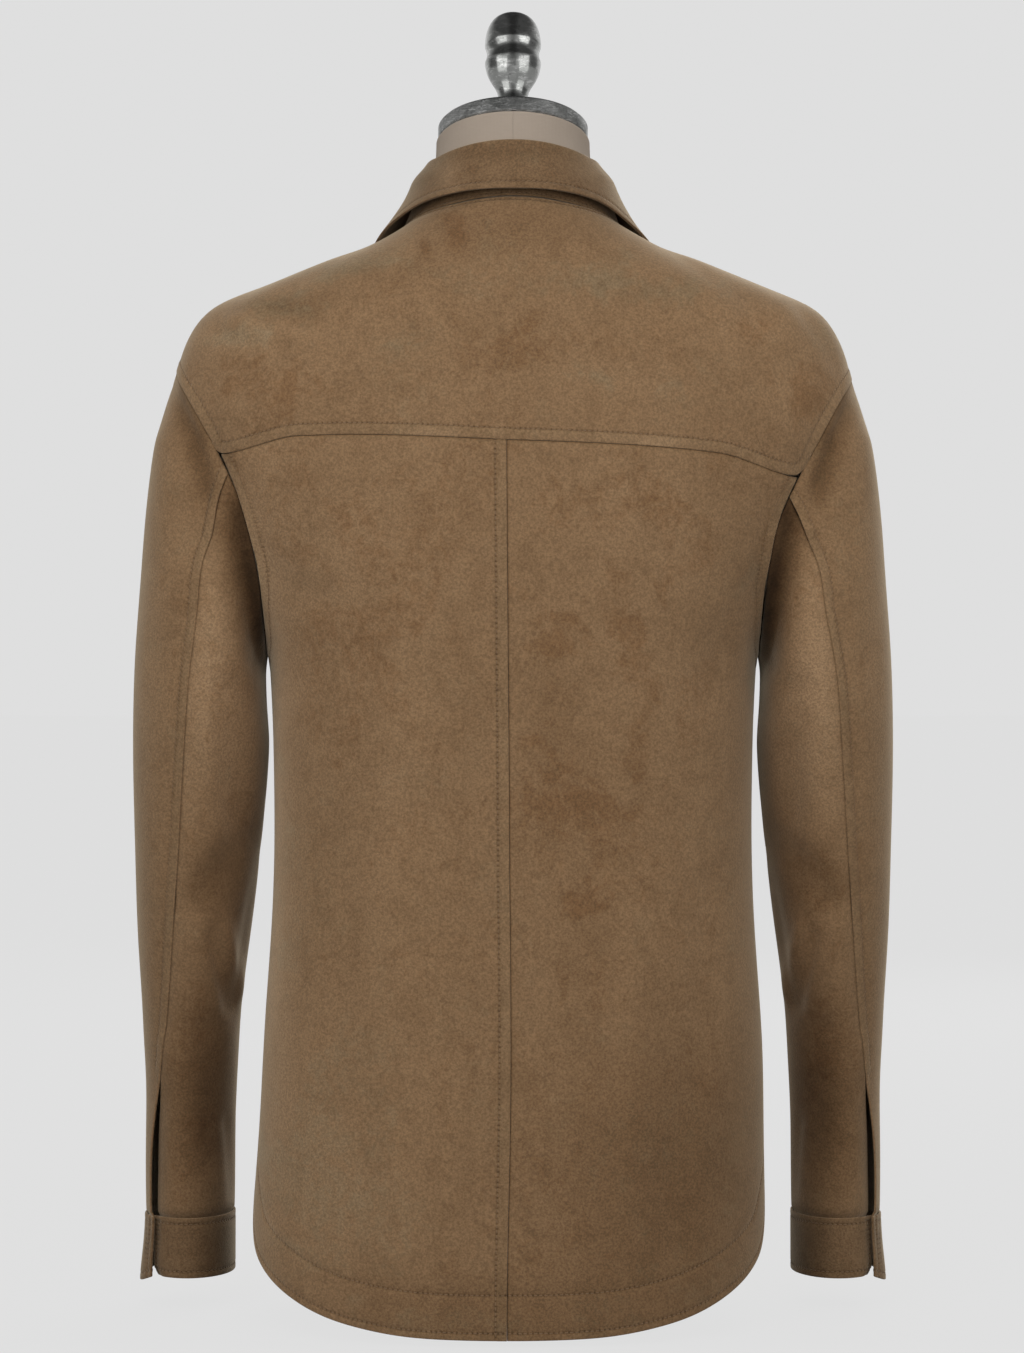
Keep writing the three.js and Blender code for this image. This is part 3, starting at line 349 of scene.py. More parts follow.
def smooth_line(points, cells):
    """A smooth cubic line through points, with this many steps between each pair."""
    ahead = np.vstack([points[1:], 2 * points[-1:] - points[-2:-1]])
    behind = np.vstack([2 * points[:1] - points[1:2], points[:-1]])
    lean = (ahead - behind) / 2
    lean[0] = 1.5 * (points[1] - points[0]) - 0.5 * (points[2] - points[1])
    lean[-1] = 1.5 * (points[-1] - points[-2]) - 0.5 * (points[-2] - points[-3])
    line = []
    for k in range(len(points) - 1):
        for t in np.arange(cells) / cells:
            line.append(
                (1 + 2 * t) * (1 - t) ** 2 * points[k]
                + t * (1 - t) ** 2 * lean[k]
                + t * t * (3 - 2 * t) * points[k + 1]
                + t * t * (t - 1) * lean[k + 1]
            )
    return np.array([*line, points[-1]])


def true_seam(grid, edge, first, last):
    """Lays a stretch of a panel's edge on one smooth line, up to its corners."""
    turned_grid = Cloth.turn(grid, edge)
    stretch = slice(first * CELLS, last * CELLS + 1)
    line = turned_grid[0, stretch]
    shift = smooth_line(line[::CELLS], CELLS) - line
    for row in range(SEAM_FADE):
        turned_grid[row, stretch] += shift * (1.0 - smoothstep(row, 0.0, SEAM_FADE))


# ------------------------------------------------------------------ panels of cloth

# How each edge of a panel is sewn: the edge, the cells along it that the row is about, its
# kind and the distances of its stitch lines. A lap is folded under and topstitched on this
# panel, an under edge goes beneath its neighbour's lap, and a tucked one into the cuff.
BAND = 0.0076
SLEEVE_BAND = 0.0066
HEM_ROWS = [0.005, 0.03]
FRONT_ROWS = [0.005, 0.032]
LEAF_ROW = 0.0056
CUFF_ROW = 0.0048
SEAMS = {
    "yoke": [
        ("bottom", 0, 30, "lap", [BAND]),
        ("top", 0, 30, "lap", [0.0022]),
        ("left", 0, 6, "lap", [BAND]),
        ("right", 0, 6, "lap", [BAND]),
    ],
    "back_left": [
        ("top", 0, 9, "under", []),
        ("right", 0, 19, "lap", [BAND]),
        ("left", 0, 8, "lap", [BAND]),
        ("left", 8, 19, "plain", []),
        ("bottom", 0, 9, "free", HEM_ROWS),
    ],
    "back_right": [
        ("top", 0, 9, "under", []),
        ("left", 0, 19, "under", []),
        ("right", 0, 8, "lap", [BAND]),
        ("right", 8, 19, "plain", []),
        ("bottom", 0, 9, "free", HEM_ROWS),
    ],
    "front_left": [
        ("top", 0, 6, "under", []),
        ("left", 0, 10, "lap", [BAND]),
        ("left", 10, 21, "plain", []),
        ("right", 0, 21, "free", FRONT_ROWS),
        ("bottom", 0, 10, "free", HEM_ROWS),
    ],
    "front_right": [
        ("top", 4, 10, "under", []),
        ("right", 0, 10, "lap", [BAND]),
        ("right", 10, 21, "plain", []),
        ("left", 0, 21, "free", FRONT_ROWS),
        ("bottom", 0, 10, "free", HEM_ROWS),
    ],
    "upper_sleeve_left": [
        ("top", 0, 14, "under", []),
        ("left", 0, 13, "lap", [SLEEVE_BAND]),
        ("left", 13, 16, "free", []),
        ("right", 0, 16, "plain", []),
        ("bottom", 0, 14, "tucked", []),
    ],
    "under_sleeve_left": [
        ("top", 0, 10, "under", []),
        ("left", 0, 13, "under", []),
        ("right", 0, 16, "plain", []),
        ("bottom", 0, 10, "tucked", []),
    ],
    "collar_stand": [
        ("bottom", 0, 28, "free", [0.002]),
    ],
    "collar_leaf": [
        ("bottom", 0, 28, "free", [LEAF_ROW]),
        ("left", 4, 8, "free", [LEAF_ROW]),
        ("right", 4, 8, "free", [LEAF_ROW]),
    ],
    "cuff_left": [
        ("bottom", 0, 24, "free", [CUFF_ROW]),
        ("top", 0, 24, "free", [0.0045]),
        ("left", 0, 2, "free", [CUFF_ROW]),
        ("right", 0, 2, "free", [CUFF_ROW]),
    ],
}
SEWING = {name: table("edge from to kind rows", rows) for name, rows in SEAMS.items()}
for part in ("upper_sleeve_", "under_sleeve_", "cuff_"):
    SEWING[part + "right"] = SEWING[part + "left"]

# How far seams and laps stand out or sink in, in metres, and over what distance.
UNDER_SINK, UNDER_REACH = 0.0003, 0.005
TUCK_SINK, TUCK_FROM, TUCK_TO, TUCK_LENGTH = 0.0024, 0.002, 0.0052, 0.003
PLAIN_SINK, PLAIN_REACH = 0.0005, 0.0015
LAP_RISE, LAP_EDGE_SHARE, LAP_FOLD = 0.00042, 0.4, 0.0009
LAP_INSIDE, LAP_OUTSIDE = 0.0012, 0.0014
FREE_SINK, FREE_REACH = 0.0003, 0.0012
ROW_SINK, ROW_REACH, ROW_SHARE = 0.00035, 0.0014, 0.4
SEAM_SHADE, RUBBED_EDGE, BAND_EDGE = 0.0007, 0.001, 0.001

# The grid lines beside an edge: the first ones, the widest step between them, and how many
# further ones give way beside a narrow or a wide band.
EDGE_LINES = [0.0, 0.0008]
PLAIN_LINE = 0.0018
WIDEST_STEP = 0.0055
WIDE_BAND, GIVE_BY_WIDE, GIVE_BY_NARROW = 0.02, 14, 5
LEAST_ROOM, ROOM_FADE = 0.0015, 0.004
PROBE_FIRST, PROBE_STEP = 4, 12  # the fine rows and columns whose normals tell out from in
SHORTEST_LINE = 3  # points that a stitch line needs
TUCK_ROW = 3  # the fine row that gives a tucked edge its direction


class Cloth:
    """A panel as a grid of points, turned so that any edge can be its first row."""

    def __init__(self, name, points):
        self.name = name
        self.points = points.copy()
        self.height = np.zeros(points.shape[:2])
        self.marks = {key: self.height.copy() for key in MARKS}
        self.lines = []
        self.side = 1.0
        normals = self.normals()
        total = 0.0
        for r in range(PROBE_FIRST, points.shape[0], PROBE_STEP):
            for c in range(PROBE_FIRST, points.shape[1], PROBE_STEP):
                place = Vector(points[r, c])
                total += Vector(normals[r, c]).dot(place - heart_of(name, place.z))
        self.side = 1.0 if total > 0.0 else -1.0

    def normals(self):
        across = np.gradient(self.points, axis=1)
        down = np.gradient(self.points, axis=0)
        return unit(np.cross(across, down)) * self.side

    @staticmethod
    def turn(grid, edge):
        """A view of a grid whose first row is the named edge."""
        if edge == "bottom":
            return grid[::-1]
        if edge == "left":
            return grid.swapaxes(0, 1)
        if edge == "right":
            return grid[:, ::-1].swapaxes(0, 1)
        return grid

    def gather(self, edge, rows):
        """Slides the rows beside an edge to where its fold and its stitch lines need them."""
        grid = self.turn(self.points, edge)
        wanted = wanted_lines(rows)
        count = len(wanted) + (GIVE_BY_WIDE if wanted[-1] > WIDE_BAND else GIVE_BY_NARROW)
        count = min(count, grid.shape[0] // 2)
        away = line_distance(grid[: count + 1], grid[0])
        before = grid[: count + 1].copy()
        for c in range(grid.shape[1]):
            own = np.maximum.accumulate(away[:, c]) + 1e-9 * np.arange(count + 1)
            own[0] = 0.0
            room = own[-1] - wanted[-1] - LEAST_ROOM
            share = float(np.clip(room / ROOM_FADE, 0.0, 1.0))
            tail = np.linspace(wanted[-1], own[-1], count + 2 - len(wanted))[1:]
            target = own + share * (np.concatenate([wanted, tail]) - own)
            for axis in range(3):
                grid[: count + 1, c, axis] = np.interp(target, own, before[:, c, axis])

    def tuck(self, edge):
        """Slips the end of a panel under the piece that is sewn over it."""
        grid = self.turn(self.points, edge)
        grid[0] += unit(grid[0] - grid[TUCK_ROW]) * TUCK_LENGTH

    def sew(self):
        """Adds each edge's lap, dip and stitch lines, and keeps the marks for the colour."""
        jobs = SEWING[self.name]
        for job in jobs:
            self.gather(job["edge"], job["rows"])
            if job["kind"] == "tucked":
                self.tuck(job["edge"])
        for job in jobs:
            grid = self.turn(self.points, job["edge"])
            line = grid[0, job["from"] * CELLS : job["to"] * CELLS + 1]
            away = line_distance(self.points, line)
            self.height += lap_height(away, job)
            # The line mark is painted shade along the seam, where this edge dips under a lap or
            # into a plain seam; the rub mark is its lighter worn edge.
            if job["kind"] in ("under", "plain"):
                self.mark("line", bell(away, 0.0, SEAM_SHADE))
            else:
                self.mark("rub", bell(away, 0.0, RUBBED_EDGE))
            if job["kind"] == "lap":
                row = job["rows"][0]
                self.mark("band", 1.0 - smoothstep(away, row - BAND_EDGE, row + BAND_EDGE))
            key = "row_x" if job["edge"] in ("top", "bottom") else "row_y"
            for row in job["rows"]:
                self.mark(key, pull_of(away, row))
                self.lines.append((job["edge"], away, row))

    def mark(self, key, values):
        self.marks[key] = np.maximum(self.marks[key], values)

    def settle(self):
        """Moves the points by the heights that have been gathered."""
        self.points = self.points + self.normals() * self.height[:, :, None]
        self.height = np.zeros(self.height.shape)
        for key, axis in (("travel_x", 1), ("travel_y", 0)):
            gaps = np.linalg.norm(np.diff(self.points, axis=axis), axis=2)
            self.marks[key] = np.pad(np.cumsum(gaps, axis=axis), [(1 - axis, 0), (axis, 0)])

    def stitch_lines(self):
        """Each stitch line's points, normals and travel along the panel."""
        normals = self.normals()
        found = []
        for edge, away, row in self.lines:
            key = "travel_x" if edge in ("top", "bottom") else "travel_y"
            grid, facing = self.turn(self.points, edge), self.turn(normals, edge)
            gap, travel = self.turn(away, edge), self.turn(self.marks[key], edge)
            places = []
            for c in range(grid.shape[1]):
                beyond = int(np.argmax(gap[:, c] >= row))
                if gap[0, c] > row / 2 or beyond == 0:
                    continue
                a, b = beyond - 1, beyond
                share = (row - gap[a, c]) / (gap[b, c] - gap[a, c])
                places.append(
                    [k[a, c] * (1 - share) + k[b, c] * share for k in (grid, facing, travel)]
                )
            if len(places) >= SHORTEST_LINE:
                found.append(places)
        return found


def row_reach(row):
    """Half the width of the trough that a row of stitches pulls into the cloth."""
    return min(ROW_REACH, ROW_SHARE * row)


def pull_of(away, row):
    """How hard a row of stitches pulls, by the distance from its edge: 1 on the row."""
    return np.clip(1.0 - np.abs(away - row) / row_reach(row), 0.0, 1.0)


def wanted_lines(rows):
    """How far from an edge the first grid lines go, so that some fall on the stitch lines."""
    lines = list(EDGE_LINES)
    for row in rows:
        near = row - row_reach(row)
        steps = int((near - lines[-1]) / WIDEST_STEP) + 1
        lines += list(np.linspace(lines[-1], near, steps + 1)[1:])
        lines += [row, row + row_reach(row)]
    return lines if rows else lines + [PLAIN_LINE]


def lap_height(away, job):
    """How far a sewn edge stands out from its panel, by the distance from the edge."""
    kind = job["kind"]
    if kind == "under":
        return -UNDER_SINK * (1.0 - smoothstep(away, 0.0, UNDER_REACH))
    if kind == "tucked":
        return -TUCK_SINK * (1.0 - smoothstep(away, TUCK_FROM, TUCK_TO))
    if kind == "plain":
        return -PLAIN_SINK * bell(away, 0.0, PLAIN_REACH)
    if kind == "lap":
        width = job["rows"][0]
        fold = LAP_EDGE_SHARE + (1.0 - LAP_EDGE_SHARE) * smoothstep(away, 0.0, LAP_FOLD)
        inside = 1.0 - smoothstep(away, width - LAP_INSIDE, width + LAP_OUTSIDE)
        total = LAP_RISE * fold * inside
    else:
        total = -FREE_SINK * (1.0 - smoothstep(away, 0.0, FREE_REACH))
    for row in job["rows"]:
        total = total - ROW_SINK * pull_of(away, row)
    return total


# ------------------------------------------------------------------ folds, patches, painted light and shade

# Soft folds, in millimetres. Each follows its points (x, z) on the side that it faces, 1 for
# the back and -1 for the front. A negative depth is a trough. Sleeve folds are given for the
# left sleeve and mirrored. A fold dies away towards the edges that it is held at.
CREASES = table("on face depth width held points", [
    ("under_sleeve", 1, -4.0, 12.0, "top", [(182, 556), (177, 520), (172, 480), (168, 452)]),
    ("under_sleeve", 1, -3.0, 12.0, "top", [(190, 430), (187, 385), (188, 350)]),
    ("sleeve", 1, -1.8, 8.0, "", [(206, 531), (219, 465), (225, 383), (233, 285), (240, 200)]),
    ("under_sleeve", 1, -3.2, 12.0, "", [(180, 330), (203, 306), (216, 286)]),
    ("under_sleeve", 1, 2.6, 4.6, "", [(197, 268), (193, 242), (188, 218)]),
    ("under_sleeve", 1, -2.6, 4.6, "", [(205, 264), (201, 238), (196, 212)]),
    ("under_sleeve", 1, -2.6, 13.0, "bottom", [(212, 196), (207, 150), (209, 105)]),
    ("under_sleeve", 1, -1.3, 3.2, "bottom", [(198, 132), (196, 104), (196, 78)]),
    ("upper_sleeve", 1, -4.2, 8.0, "top left", [(226, 640), (219, 612), (210, 584), (205, 560)]),
    ("upper_sleeve", 1, 1.6, 11.0, "top left", [(240, 600), (232, 545), (236, 480)]),
    ("sleeve", -1, -3.6, 9.0, "", [(188, 352), (212, 336), (234, 340)]),
    ("sleeve", -1, -2.8, 7.0, "", [(184, 318), (206, 310), (226, 316)]),
    ("sleeve", -1, 2.2, 8.0, "", [(186, 335), (208, 323), (230, 328)]),
    ("sleeve", -1, -2.4, 9.0, "", [(196, 286), (218, 270), (236, 276)]),
    ("sleeve", -1, -3.0, 11.0, "top", [(204, 560), (214, 520), (222, 470)]),
    ("yoke", 1, -1.3, 5.0, "", [(184, 690), (160, 681), (128, 674)]),
    ("yoke", 1, -1.0, 5.0, "", [(196, 672), (176, 664), (150, 660)]),
    ("yoke", 1, 1.0, 6.0, "", [(190, 681), (168, 672), (142, 667)]),
    ("yoke", 1, -1.2, 6.0, "", [(-196, 688), (-212, 668), (-220, 650)]),
    ("yoke", 1, -0.9, 9.0, "", [(70, 700), (30, 690), (-40, 694)]),
    ("back", 1, -1.6, 12.0, "", [(168, 520), (150, 500), (128, 492)]),
    ("back", 1, -1.6, 13.0, "", [(-164, 500), (-142, 470), (-128, 430)]),
    ("back", 1, 1.3, 15.0, "", [(84, 520), (78, 420), (84, 300)]),
    ("back", 1, -1.4, 16.0, "", [(-34, 500), (-38, 400), (-30, 300), (-36, 180)]),
    ("back", 1, -1.5, 14.0, "", [(118, 330), (112, 240), (122, 150)]),
    ("back", 1, -1.7, 13.0, "", [(-128, 300), (-124, 200), (-104, 110), (-110, 60)]),
    ("back", 1, 1.4, 14.0, "", [(-84, 260), (-78, 160), (-70, 70)]),
    ("front", -1, -3.4, 12.0, "", [(168, 540), (140, 500), (118, 440)]),
    ("front", -1, -3.0, 13.0, "", [(-164, 530), (-138, 490), (-112, 420)]),
    ("front", -1, -2.2, 10.0, "", [(150, 610), (126, 566), (112, 520)]),
    ("front", -1, -2.0, 10.0, "", [(-148, 604), (-122, 560), (-104, 500)]),
    ("front", -1, 1.6, 14.0, "", [(100, 470), (88, 360), (96, 220)]),
    ("front", -1, -1.8, 14.0, "", [(124, 380), (118, 260), (126, 140)]),
    ("front", -1, -1.8, 16.0, "", [(-96, 440), (-104, 320), (-92, 180)]),
    ("front", -1, 1.4, 14.0, "", [(-128, 360), (-134, 240), (-126, 130)]),
])

# Patches of nap and of painted light and shade, in millimetres: where each has its middle and
# how far it reaches. Warm is redder, or more olive below zero, and dark is deeper, or lighter
# below zero: partly the nap's own colour, partly painted shade and painted highlights, as noted
# below. Face 0 is both.
PATCHES_AND_PAINTED_LIGHT = table("on face x z wide tall warm dark", [
    ("yoke", 1, 167, 636, 42, 22, 0.62, -0.06),
    ("yoke", 1, 184, 668, 36, 9, -0.5, -0.2),
    # darker in the shoulder's crease: painted shade, on an olive patch
    ("yoke", 1, 152, 690, 28, 8, -0.5, 0.24),
    ("yoke", 1, -193, 633, 28, 30, 0.4, -0.08),
    ("yoke", 1, -208, 672, 18, 24, -0.3, 0.02),
    ("yoke", 1, 38, 738, 11, 17, 0.95, 0.08),
    ("yoke", 1, 59, 727, 6, 11, 0.8, 0.14),
    ("yoke", 1, 96, 706, 34, 10, 0.4, 0.06),
    ("yoke", 1, 0, 742, 90, 22, -0.1, 0.18),
    ("yoke", 1, 14, 654, 52, 10, 0.12, 0.02),
    ("yoke", 1, -8, 682, 12, 14, 0.24, 0.02),
    ("yoke", 1, -60, 640, 46, 10, -0.45, -0.06),
    ("yoke", 1, -160, 676, 40, 12, 0.3, -0.1),
    ("yoke", 1, 90, 664, 30, 12, -0.4, -0.04),
    ("yoke", 1, 0, 660, 60, 20, 0.12, 0.04),
    ("yoke", 1, -90, 700, 60, 16, -0.6, 0.05),
    ("yoke", 0, 120, 712, 60, 14, -0.6, 0.06),
    ("back", 1, 110, 500, 66, 110, 0.22, -0.1),
    ("back", 1, -80, 500, 66, 110, 0.26, -0.06),
    ("back", 1, -26, 400, 22, 84, 0.3, 0.09),
    ("back", 1, -58, 372, 24, 34, 0.26, 0.07),
    ("back", 1, -44, 284, 20, 46, 0.3, 0.08),
    # lighter along the left side of the back: painted highlight
    ("back", 1, 170, 340, 20, 190, -0.3, -0.6),
    # darker along the right side by the underarm: painted shade, on a cooler patch
    ("back", 1, -160, 440, 18, 90, -0.3, 0.08),
    # lighter along the ridge of a fold: painted highlight
    ("back", 1, 78, 330, 20, 120, 0.0, -0.07),
    # lighter at the lower left, darker at the lower right and along the hem: partly the suede's
    # own colour, partly painted light and shade
    ("back", 1, 126, 110, 52, 90, -0.2, -0.1),
    ("back", 1, -120, 110, 60, 90, 0.0, 0.32),
    ("back", 1, -46, 110, 50, 90, 0.0, 0.12),
    ("back", 1, 0, 20, 140, 30, -0.1, 0.2),
    ("front", -1, 90, 520, 60, 90, 0.24, -0.1),
    ("front", -1, -90, 470, 56, 120, 0.22, -0.08),
    ("front", -1, 130, 180, 50, 120, -0.25, 0.04),
    ("front", -1, -110, 160, 60, 110, -0.1, 0.16),
    # lighter spots along the yoke's bottom seam: partly rubbed wear, partly painted highlight
    ("yoke", 1, -94, 596, 17, 4, 0.0, -0.3),
    ("yoke", 1, 56, 600, 14, 3, 0.0, -0.22),
    ("yoke", 1, 10, 604, 5, 6, 0.0, -0.16),
    # darker beside the armhole seam: painted shade
    ("sleeve", 1, 223, 628, 7, 26, 0.0, 0.4),
    ("sleeve", 1, 213, 596, 8, 20, 0.0, 0.5),
    ("sleeve", 1, 206, 570, 7, 16, 0.0, 0.42),
    # darker under the arm, between sleeve and body: painted shadow
    ("under_sleeve", 1, 183, 550, 8, 24, 0.0, 0.6),
    ("under_sleeve", 1, 177, 512, 10, 28, 0.0, 0.95),
    ("under_sleeve", 1, 171, 470, 10, 32, 0.0, 1.15),
    ("under_sleeve", 0, 190, 545, 12, 30, 0.0, 0.35),
    # lighter down the middle of the under sleeve: painted highlight
    ("under_sleeve", 0, 201, 415, 34, 120, 0.0, -0.24),
    # darker at the elbow: painted shade
    ("sleeve", 1, 204, 306, 18, 30, 0.1, 0.34),
    ("under_sleeve", 1, 186, 300, 9, 60, 0.1, 0.2),
    # lighter along the ridge of a fold below the elbow: painted highlight
    ("under_sleeve", 1, 188, 236, 6, 26, 0.0, -0.14),
    # darker on the lower sleeve: painted shade
    ("under_sleeve", 1, 216, 140, 22, 60, 0.1, 0.36),
    ("under_sleeve", 1, 204, 180, 16, 60, 0.15, 0.22),
    ("sleeve", 0, 220, 110, 60, 80, 0.0, 0.08),
    # lighter along the sleeve's outer edge and down its middle: painted highlights
    ("sleeve", 1, 246, 470, 14, 110, 0.0, -0.12),
    ("sleeve", 1, 202, 440, 11, 60, 0.1, -0.12),
    ("cuff", 0, 205, 40, 16, 24, 0.1, 0.14),
    ("collar", 1, 66, 782, 16, 16, -0.2, 0.2),
    ("collar", 1, 44, 778, 8, 14, 0.1, -0.22),
    ("collar", 1, 10, 794, 46, 5, -0.1, 0.12),
    ("collar", 1, -50, 770, 30, 12, 0.1, 0.1),
])

MM = 0.001
TURNED_AWAY, TURNED_TO = -0.1, 0.35  # the normal's share towards a side where its folds begin
HELD_FROM, HELD_TO = 0.001, 0.012  # over which a fold dies away at the edge that holds it


def laid_on(rows, name):
    """The folds or patches that are on this panel."""
    return [row for row in rows if row["on"] in name]


def mirror_of(name):
    """-1 for the pieces of the right sleeve, whose folds and patches are mirrored, else 1."""
    return side_of(name) if "sleeve" in name or "cuff" in name else 1


def towards(normals, face):
    """How much of a fold or patch shows where the cloth turns away from its side."""
    return smoothstep(normals[:, :, 1] * face, TURNED_AWAY, TURNED_TO) if face else 1.0


def crease(cloth):
    """Adds the folds that are laid on this panel."""
    normals = cloth.normals()
    flat = cloth.points[:, :, [0, 2]]
    side = mirror_of(cloth.name)
    for row in laid_on(CREASES, cloth.name):
        line = np.array([(side * x * MM, z * MM) for x, z in row["points"]])
        height = row["depth"] * MM * bell(line_distance(flat, line), 0.0, row["width"] * MM)
        height = height * towards(normals, row["face"])
        for edge in row["held"].split():
            gap = line_distance(cloth.points, cloth.turn(cloth.points, edge)[0])
            height = height * smoothstep(gap, HELD_FROM, HELD_TO)
        cloth.height += height


def patch(cloth):
    """Marks the patches of nap, painted shade and painted highlights that are laid on this panel.
    """
    normals = cloth.normals()
    x, z = cloth.points[:, :, 0] * mirror_of(cloth.name), cloth.points[:, :, 2]
    for row in laid_on(PATCHES_AND_PAINTED_LIGHT, cloth.name):
        share = bell(x / MM, row["x"], row["wide"]) * bell(z / MM, row["z"], row["tall"])
        share = share * towards(normals, row["face"])
        for key in ("warm", "dark"):
            cloth.marks[key] = cloth.marks[key] + row[key] * share


WORN_SHARE = 0.3  # of the wall's thickness that is worn off its edges
WORN_ANGLE = math.radians(50)


def cloth_object(name, cloth, thickness, material):
    """A panel's mesh: a grid laid on the panel's points, with a wall behind it."""
    rows, columns = cloth.points.shape[:2]
    bm = bmesh.new()
    bm.loops.layers.uv.new("cloth")
    cells = {"x_segments": columns - 1, "y_segments": rows - 1}
    bmesh.ops.create_grid(bm, size=0.5, calc_uvs=True, **cells)
    bm.verts.ensure_lookup_table()
    flat = cloth.points.reshape(-1, 3)
    for vert, place in zip(bm.verts, flat):
        vert.co = place
    bm.normal_update()
    wanted = cloth.normals().reshape(-1, 3)
    agreement = sum(v.normal.dot(Vector(wanted[v.index])) for v in bm.verts)
    if agreement < 0.0:
        bmesh.ops.reverse_faces(bm, faces=bm.faces)
    piece = scene_object(name, bm, material)
    for key, values in cloth.marks.items():
        layer = piece.data.attributes.new(key, "FLOAT", "POINT")
        layer.data.foreach_set("value", np.ascontiguousarray(values, dtype=np.float32).ravel())
    wall = piece.modifiers.new("wall", "SOLIDIFY")
    wall.thickness = thickness
    wall.offset = -1.0
    wall.use_even_offset = False
    bevel = piece.modifiers.new("worn edge", "BEVEL")
    bevel.width = thickness * WORN_SHARE
    bevel.segments = 2
    bevel.limit_method = "ANGLE"
    bevel.angle_limit = WORN_ANGLE
    bevel.use_clamp_overlap = True
    return piece


# ------------------------------------------------------------------ stitches

THREAD_SIDES, THREAD_RINGS = 6, 4
THREAD_LIFT, THREAD_FLATNESS = 0.12, 0.8  # shares of the thread's thickness


def thread_shape():
    """One stitch: a slim rounded bar along X, one metre long and one metre thick."""
    bm = bmesh.new()
    bmesh.ops.create_uvsphere(bm, u_segments=THREAD_SIDES, v_segments=THREAD_RINGS, radius=0.5)
    flat = Matrix.Rotation(math.pi / 2, 3, "Y")
    bmesh.ops.rotate(bm, verts=bm.verts, cent=(0, 0, 0), matrix=flat)
    mesh = bpy.data.meshes.new("thread")
    bm.to_mesh(mesh)
    bm.free()
    return mesh


def stitched(name, placings, material):
    """One mesh of many stitches. Each placing is a matrix for the thread's shape."""
    shape = thread_shape()
    bm = bmesh.new()
    for placing in placings:
        before = len(bm.verts)
        bm.from_mesh(shape)
        bm.verts.ensure_lookup_table()
        bmesh.ops.transform(bm, matrix=placing, verts=bm.verts[before:])
    bpy.data.meshes.remove(shape)
    return scene_object(name, bm, material)


def placed(place, along, normal, length, width, depth):
    """A matrix that lays a stitch at a place, along a direction and flat on a normal."""
    x = Vector(along).normalized()
    z = Vector(normal)
    z = (z - x * z.dot(x)).normalized()
    y = z.cross(x)
    turn = Matrix((x, y, z)).transposed().to_4x4()
    size = Matrix.Diagonal((length, width, depth, 1.0))
    return Matrix.Translation(Vector(place)) @ turn @ size


def along_line(line, sizes):
    """Matrices for evenly spaced stitches along a stitch line."""
    track = np.array([(*place, *normal, travel) for place, normal, travel in line])
    if track[0, 6] > track[-1, 6]:
        track = track[::-1]

    def at(travel, columns):
        return Vector([np.interp(travel, track[:, 6], track[:, k]) for k in columns])

    first = math.ceil(track[0, 6] / sizes.stitch_pitch)
    found = []
    for k in range(first, int(track[-1, 6] / sizes.stitch_pitch)):
        middle = (k + 0.5) * sizes.stitch_pitch
        start = at(middle - 0.5 * sizes.stitch_length, (0, 1, 2))
        end = at(middle + 0.5 * sizes.stitch_length, (0, 1, 2))
        normal = at(middle, (3, 4, 5))
        place = (start + end) / 2 + normal * sizes.thread * THREAD_LIFT
        size = (sizes.stitch_length, sizes.thread, sizes.thread * THREAD_FLATNESS)
        found.append(placed(place, end - start, normal, *size))
    return found


# ------------------------------------------------------------------ materials

def fill(tree, node, inputs):
    """Sets a node's inputs to values, or links them to the outputs of other nodes."""
    for key, value in inputs.items():
        socket = node.inputs[key]
        if isinstance(value, bpy.types.NodeSocket):
            tree.links.new(value, socket)
        else:
            socket.default_value = value


def add_node(tree, kind, inputs=None, **settings):
    """A node with its settings made and its inputs filled."""
    node = tree.nodes.new(kind)
    for key, value in settings.items():
        setattr(node, key, value)
    fill(tree, node, inputs or {})
    return node


def new_material(name):
    """A new material, its node tree and its shader."""
    material = bpy.data.materials.new(name)
    material.use_nodes = True
    return material, material.node_tree, material.node_tree.nodes["Principled BSDF"]


def object_place(tree):
    return add_node(tree, "ShaderNodeTexCoord").outputs["Object"]


def new_group(name, inputs, outputs):
    group = bpy.data.node_groups.new(name, "ShaderNodeTree")
    for label, default in inputs.items():
        socket = group.interface.new_socket(label, in_out="INPUT", socket_type="NodeSocketFloat")
        socket.default_value = default
    for label in outputs:
        group.interface.new_socket(label, in_out="OUTPUT", socket_type="NodeSocketFloat")
    return group, group.nodes.new("NodeGroupInput"), group.nodes.new("NodeGroupOutput")


def noise_value(tree, place, scale, detail, rough, warp=0.0):
    sizes = {"Scale": scale, "Detail": detail, "Roughness": rough, "Distortion": warp}
    return add_node(tree, "ShaderNodeTexNoise", {"Vector": place, **sizes}).outputs["Fac"]


def wave_value(tree, place, direction, sizes):
    inputs = {"Vector": place, **sizes}
    return add_node(tree, "ShaderNodeTexWave", inputs, bands_direction=direction).outputs["Fac"]


def stretched(tree, place, scale):
    return add_node(tree, "ShaderNodeMapping", {"Vector": place, "Scale": scale}).outputs["Vector"]


def mark_value(tree, key):
    """A panel's own mark, such as how near a point is to a row of stitches."""
    return add_node(tree, "ShaderNodeAttribute", attribute_name=key).outputs["Fac"]


def spread(tree, value, low, high, to_low=0.0, to_high=1.0):
    """The value's smooth rise from one range to another."""
    ends = {"From Min": low, "From Max": high, "To Min": to_low, "To Max": to_high}
    node = add_node(
        tree, "ShaderNodeMapRange", {"Value": value, **ends}, interpolation_type="SMOOTHSTEP"
    )
    return node.outputs["Result"]


def sums(tree, operation, first, second=0.0):
    node = add_node(tree, "ShaderNodeMath", {0: first, 1: second}, operation=operation)
    return node.outputs[0]


def times(tree, first, second):
    return sums(tree, "MULTIPLY", first, second)


def weighted(tree, start, *pairs):
    """A starting value plus each further value times its weight."""
    for value, weight in pairs:
        start = sums(tree, "ADD", start, times(tree, value, weight))
    return start


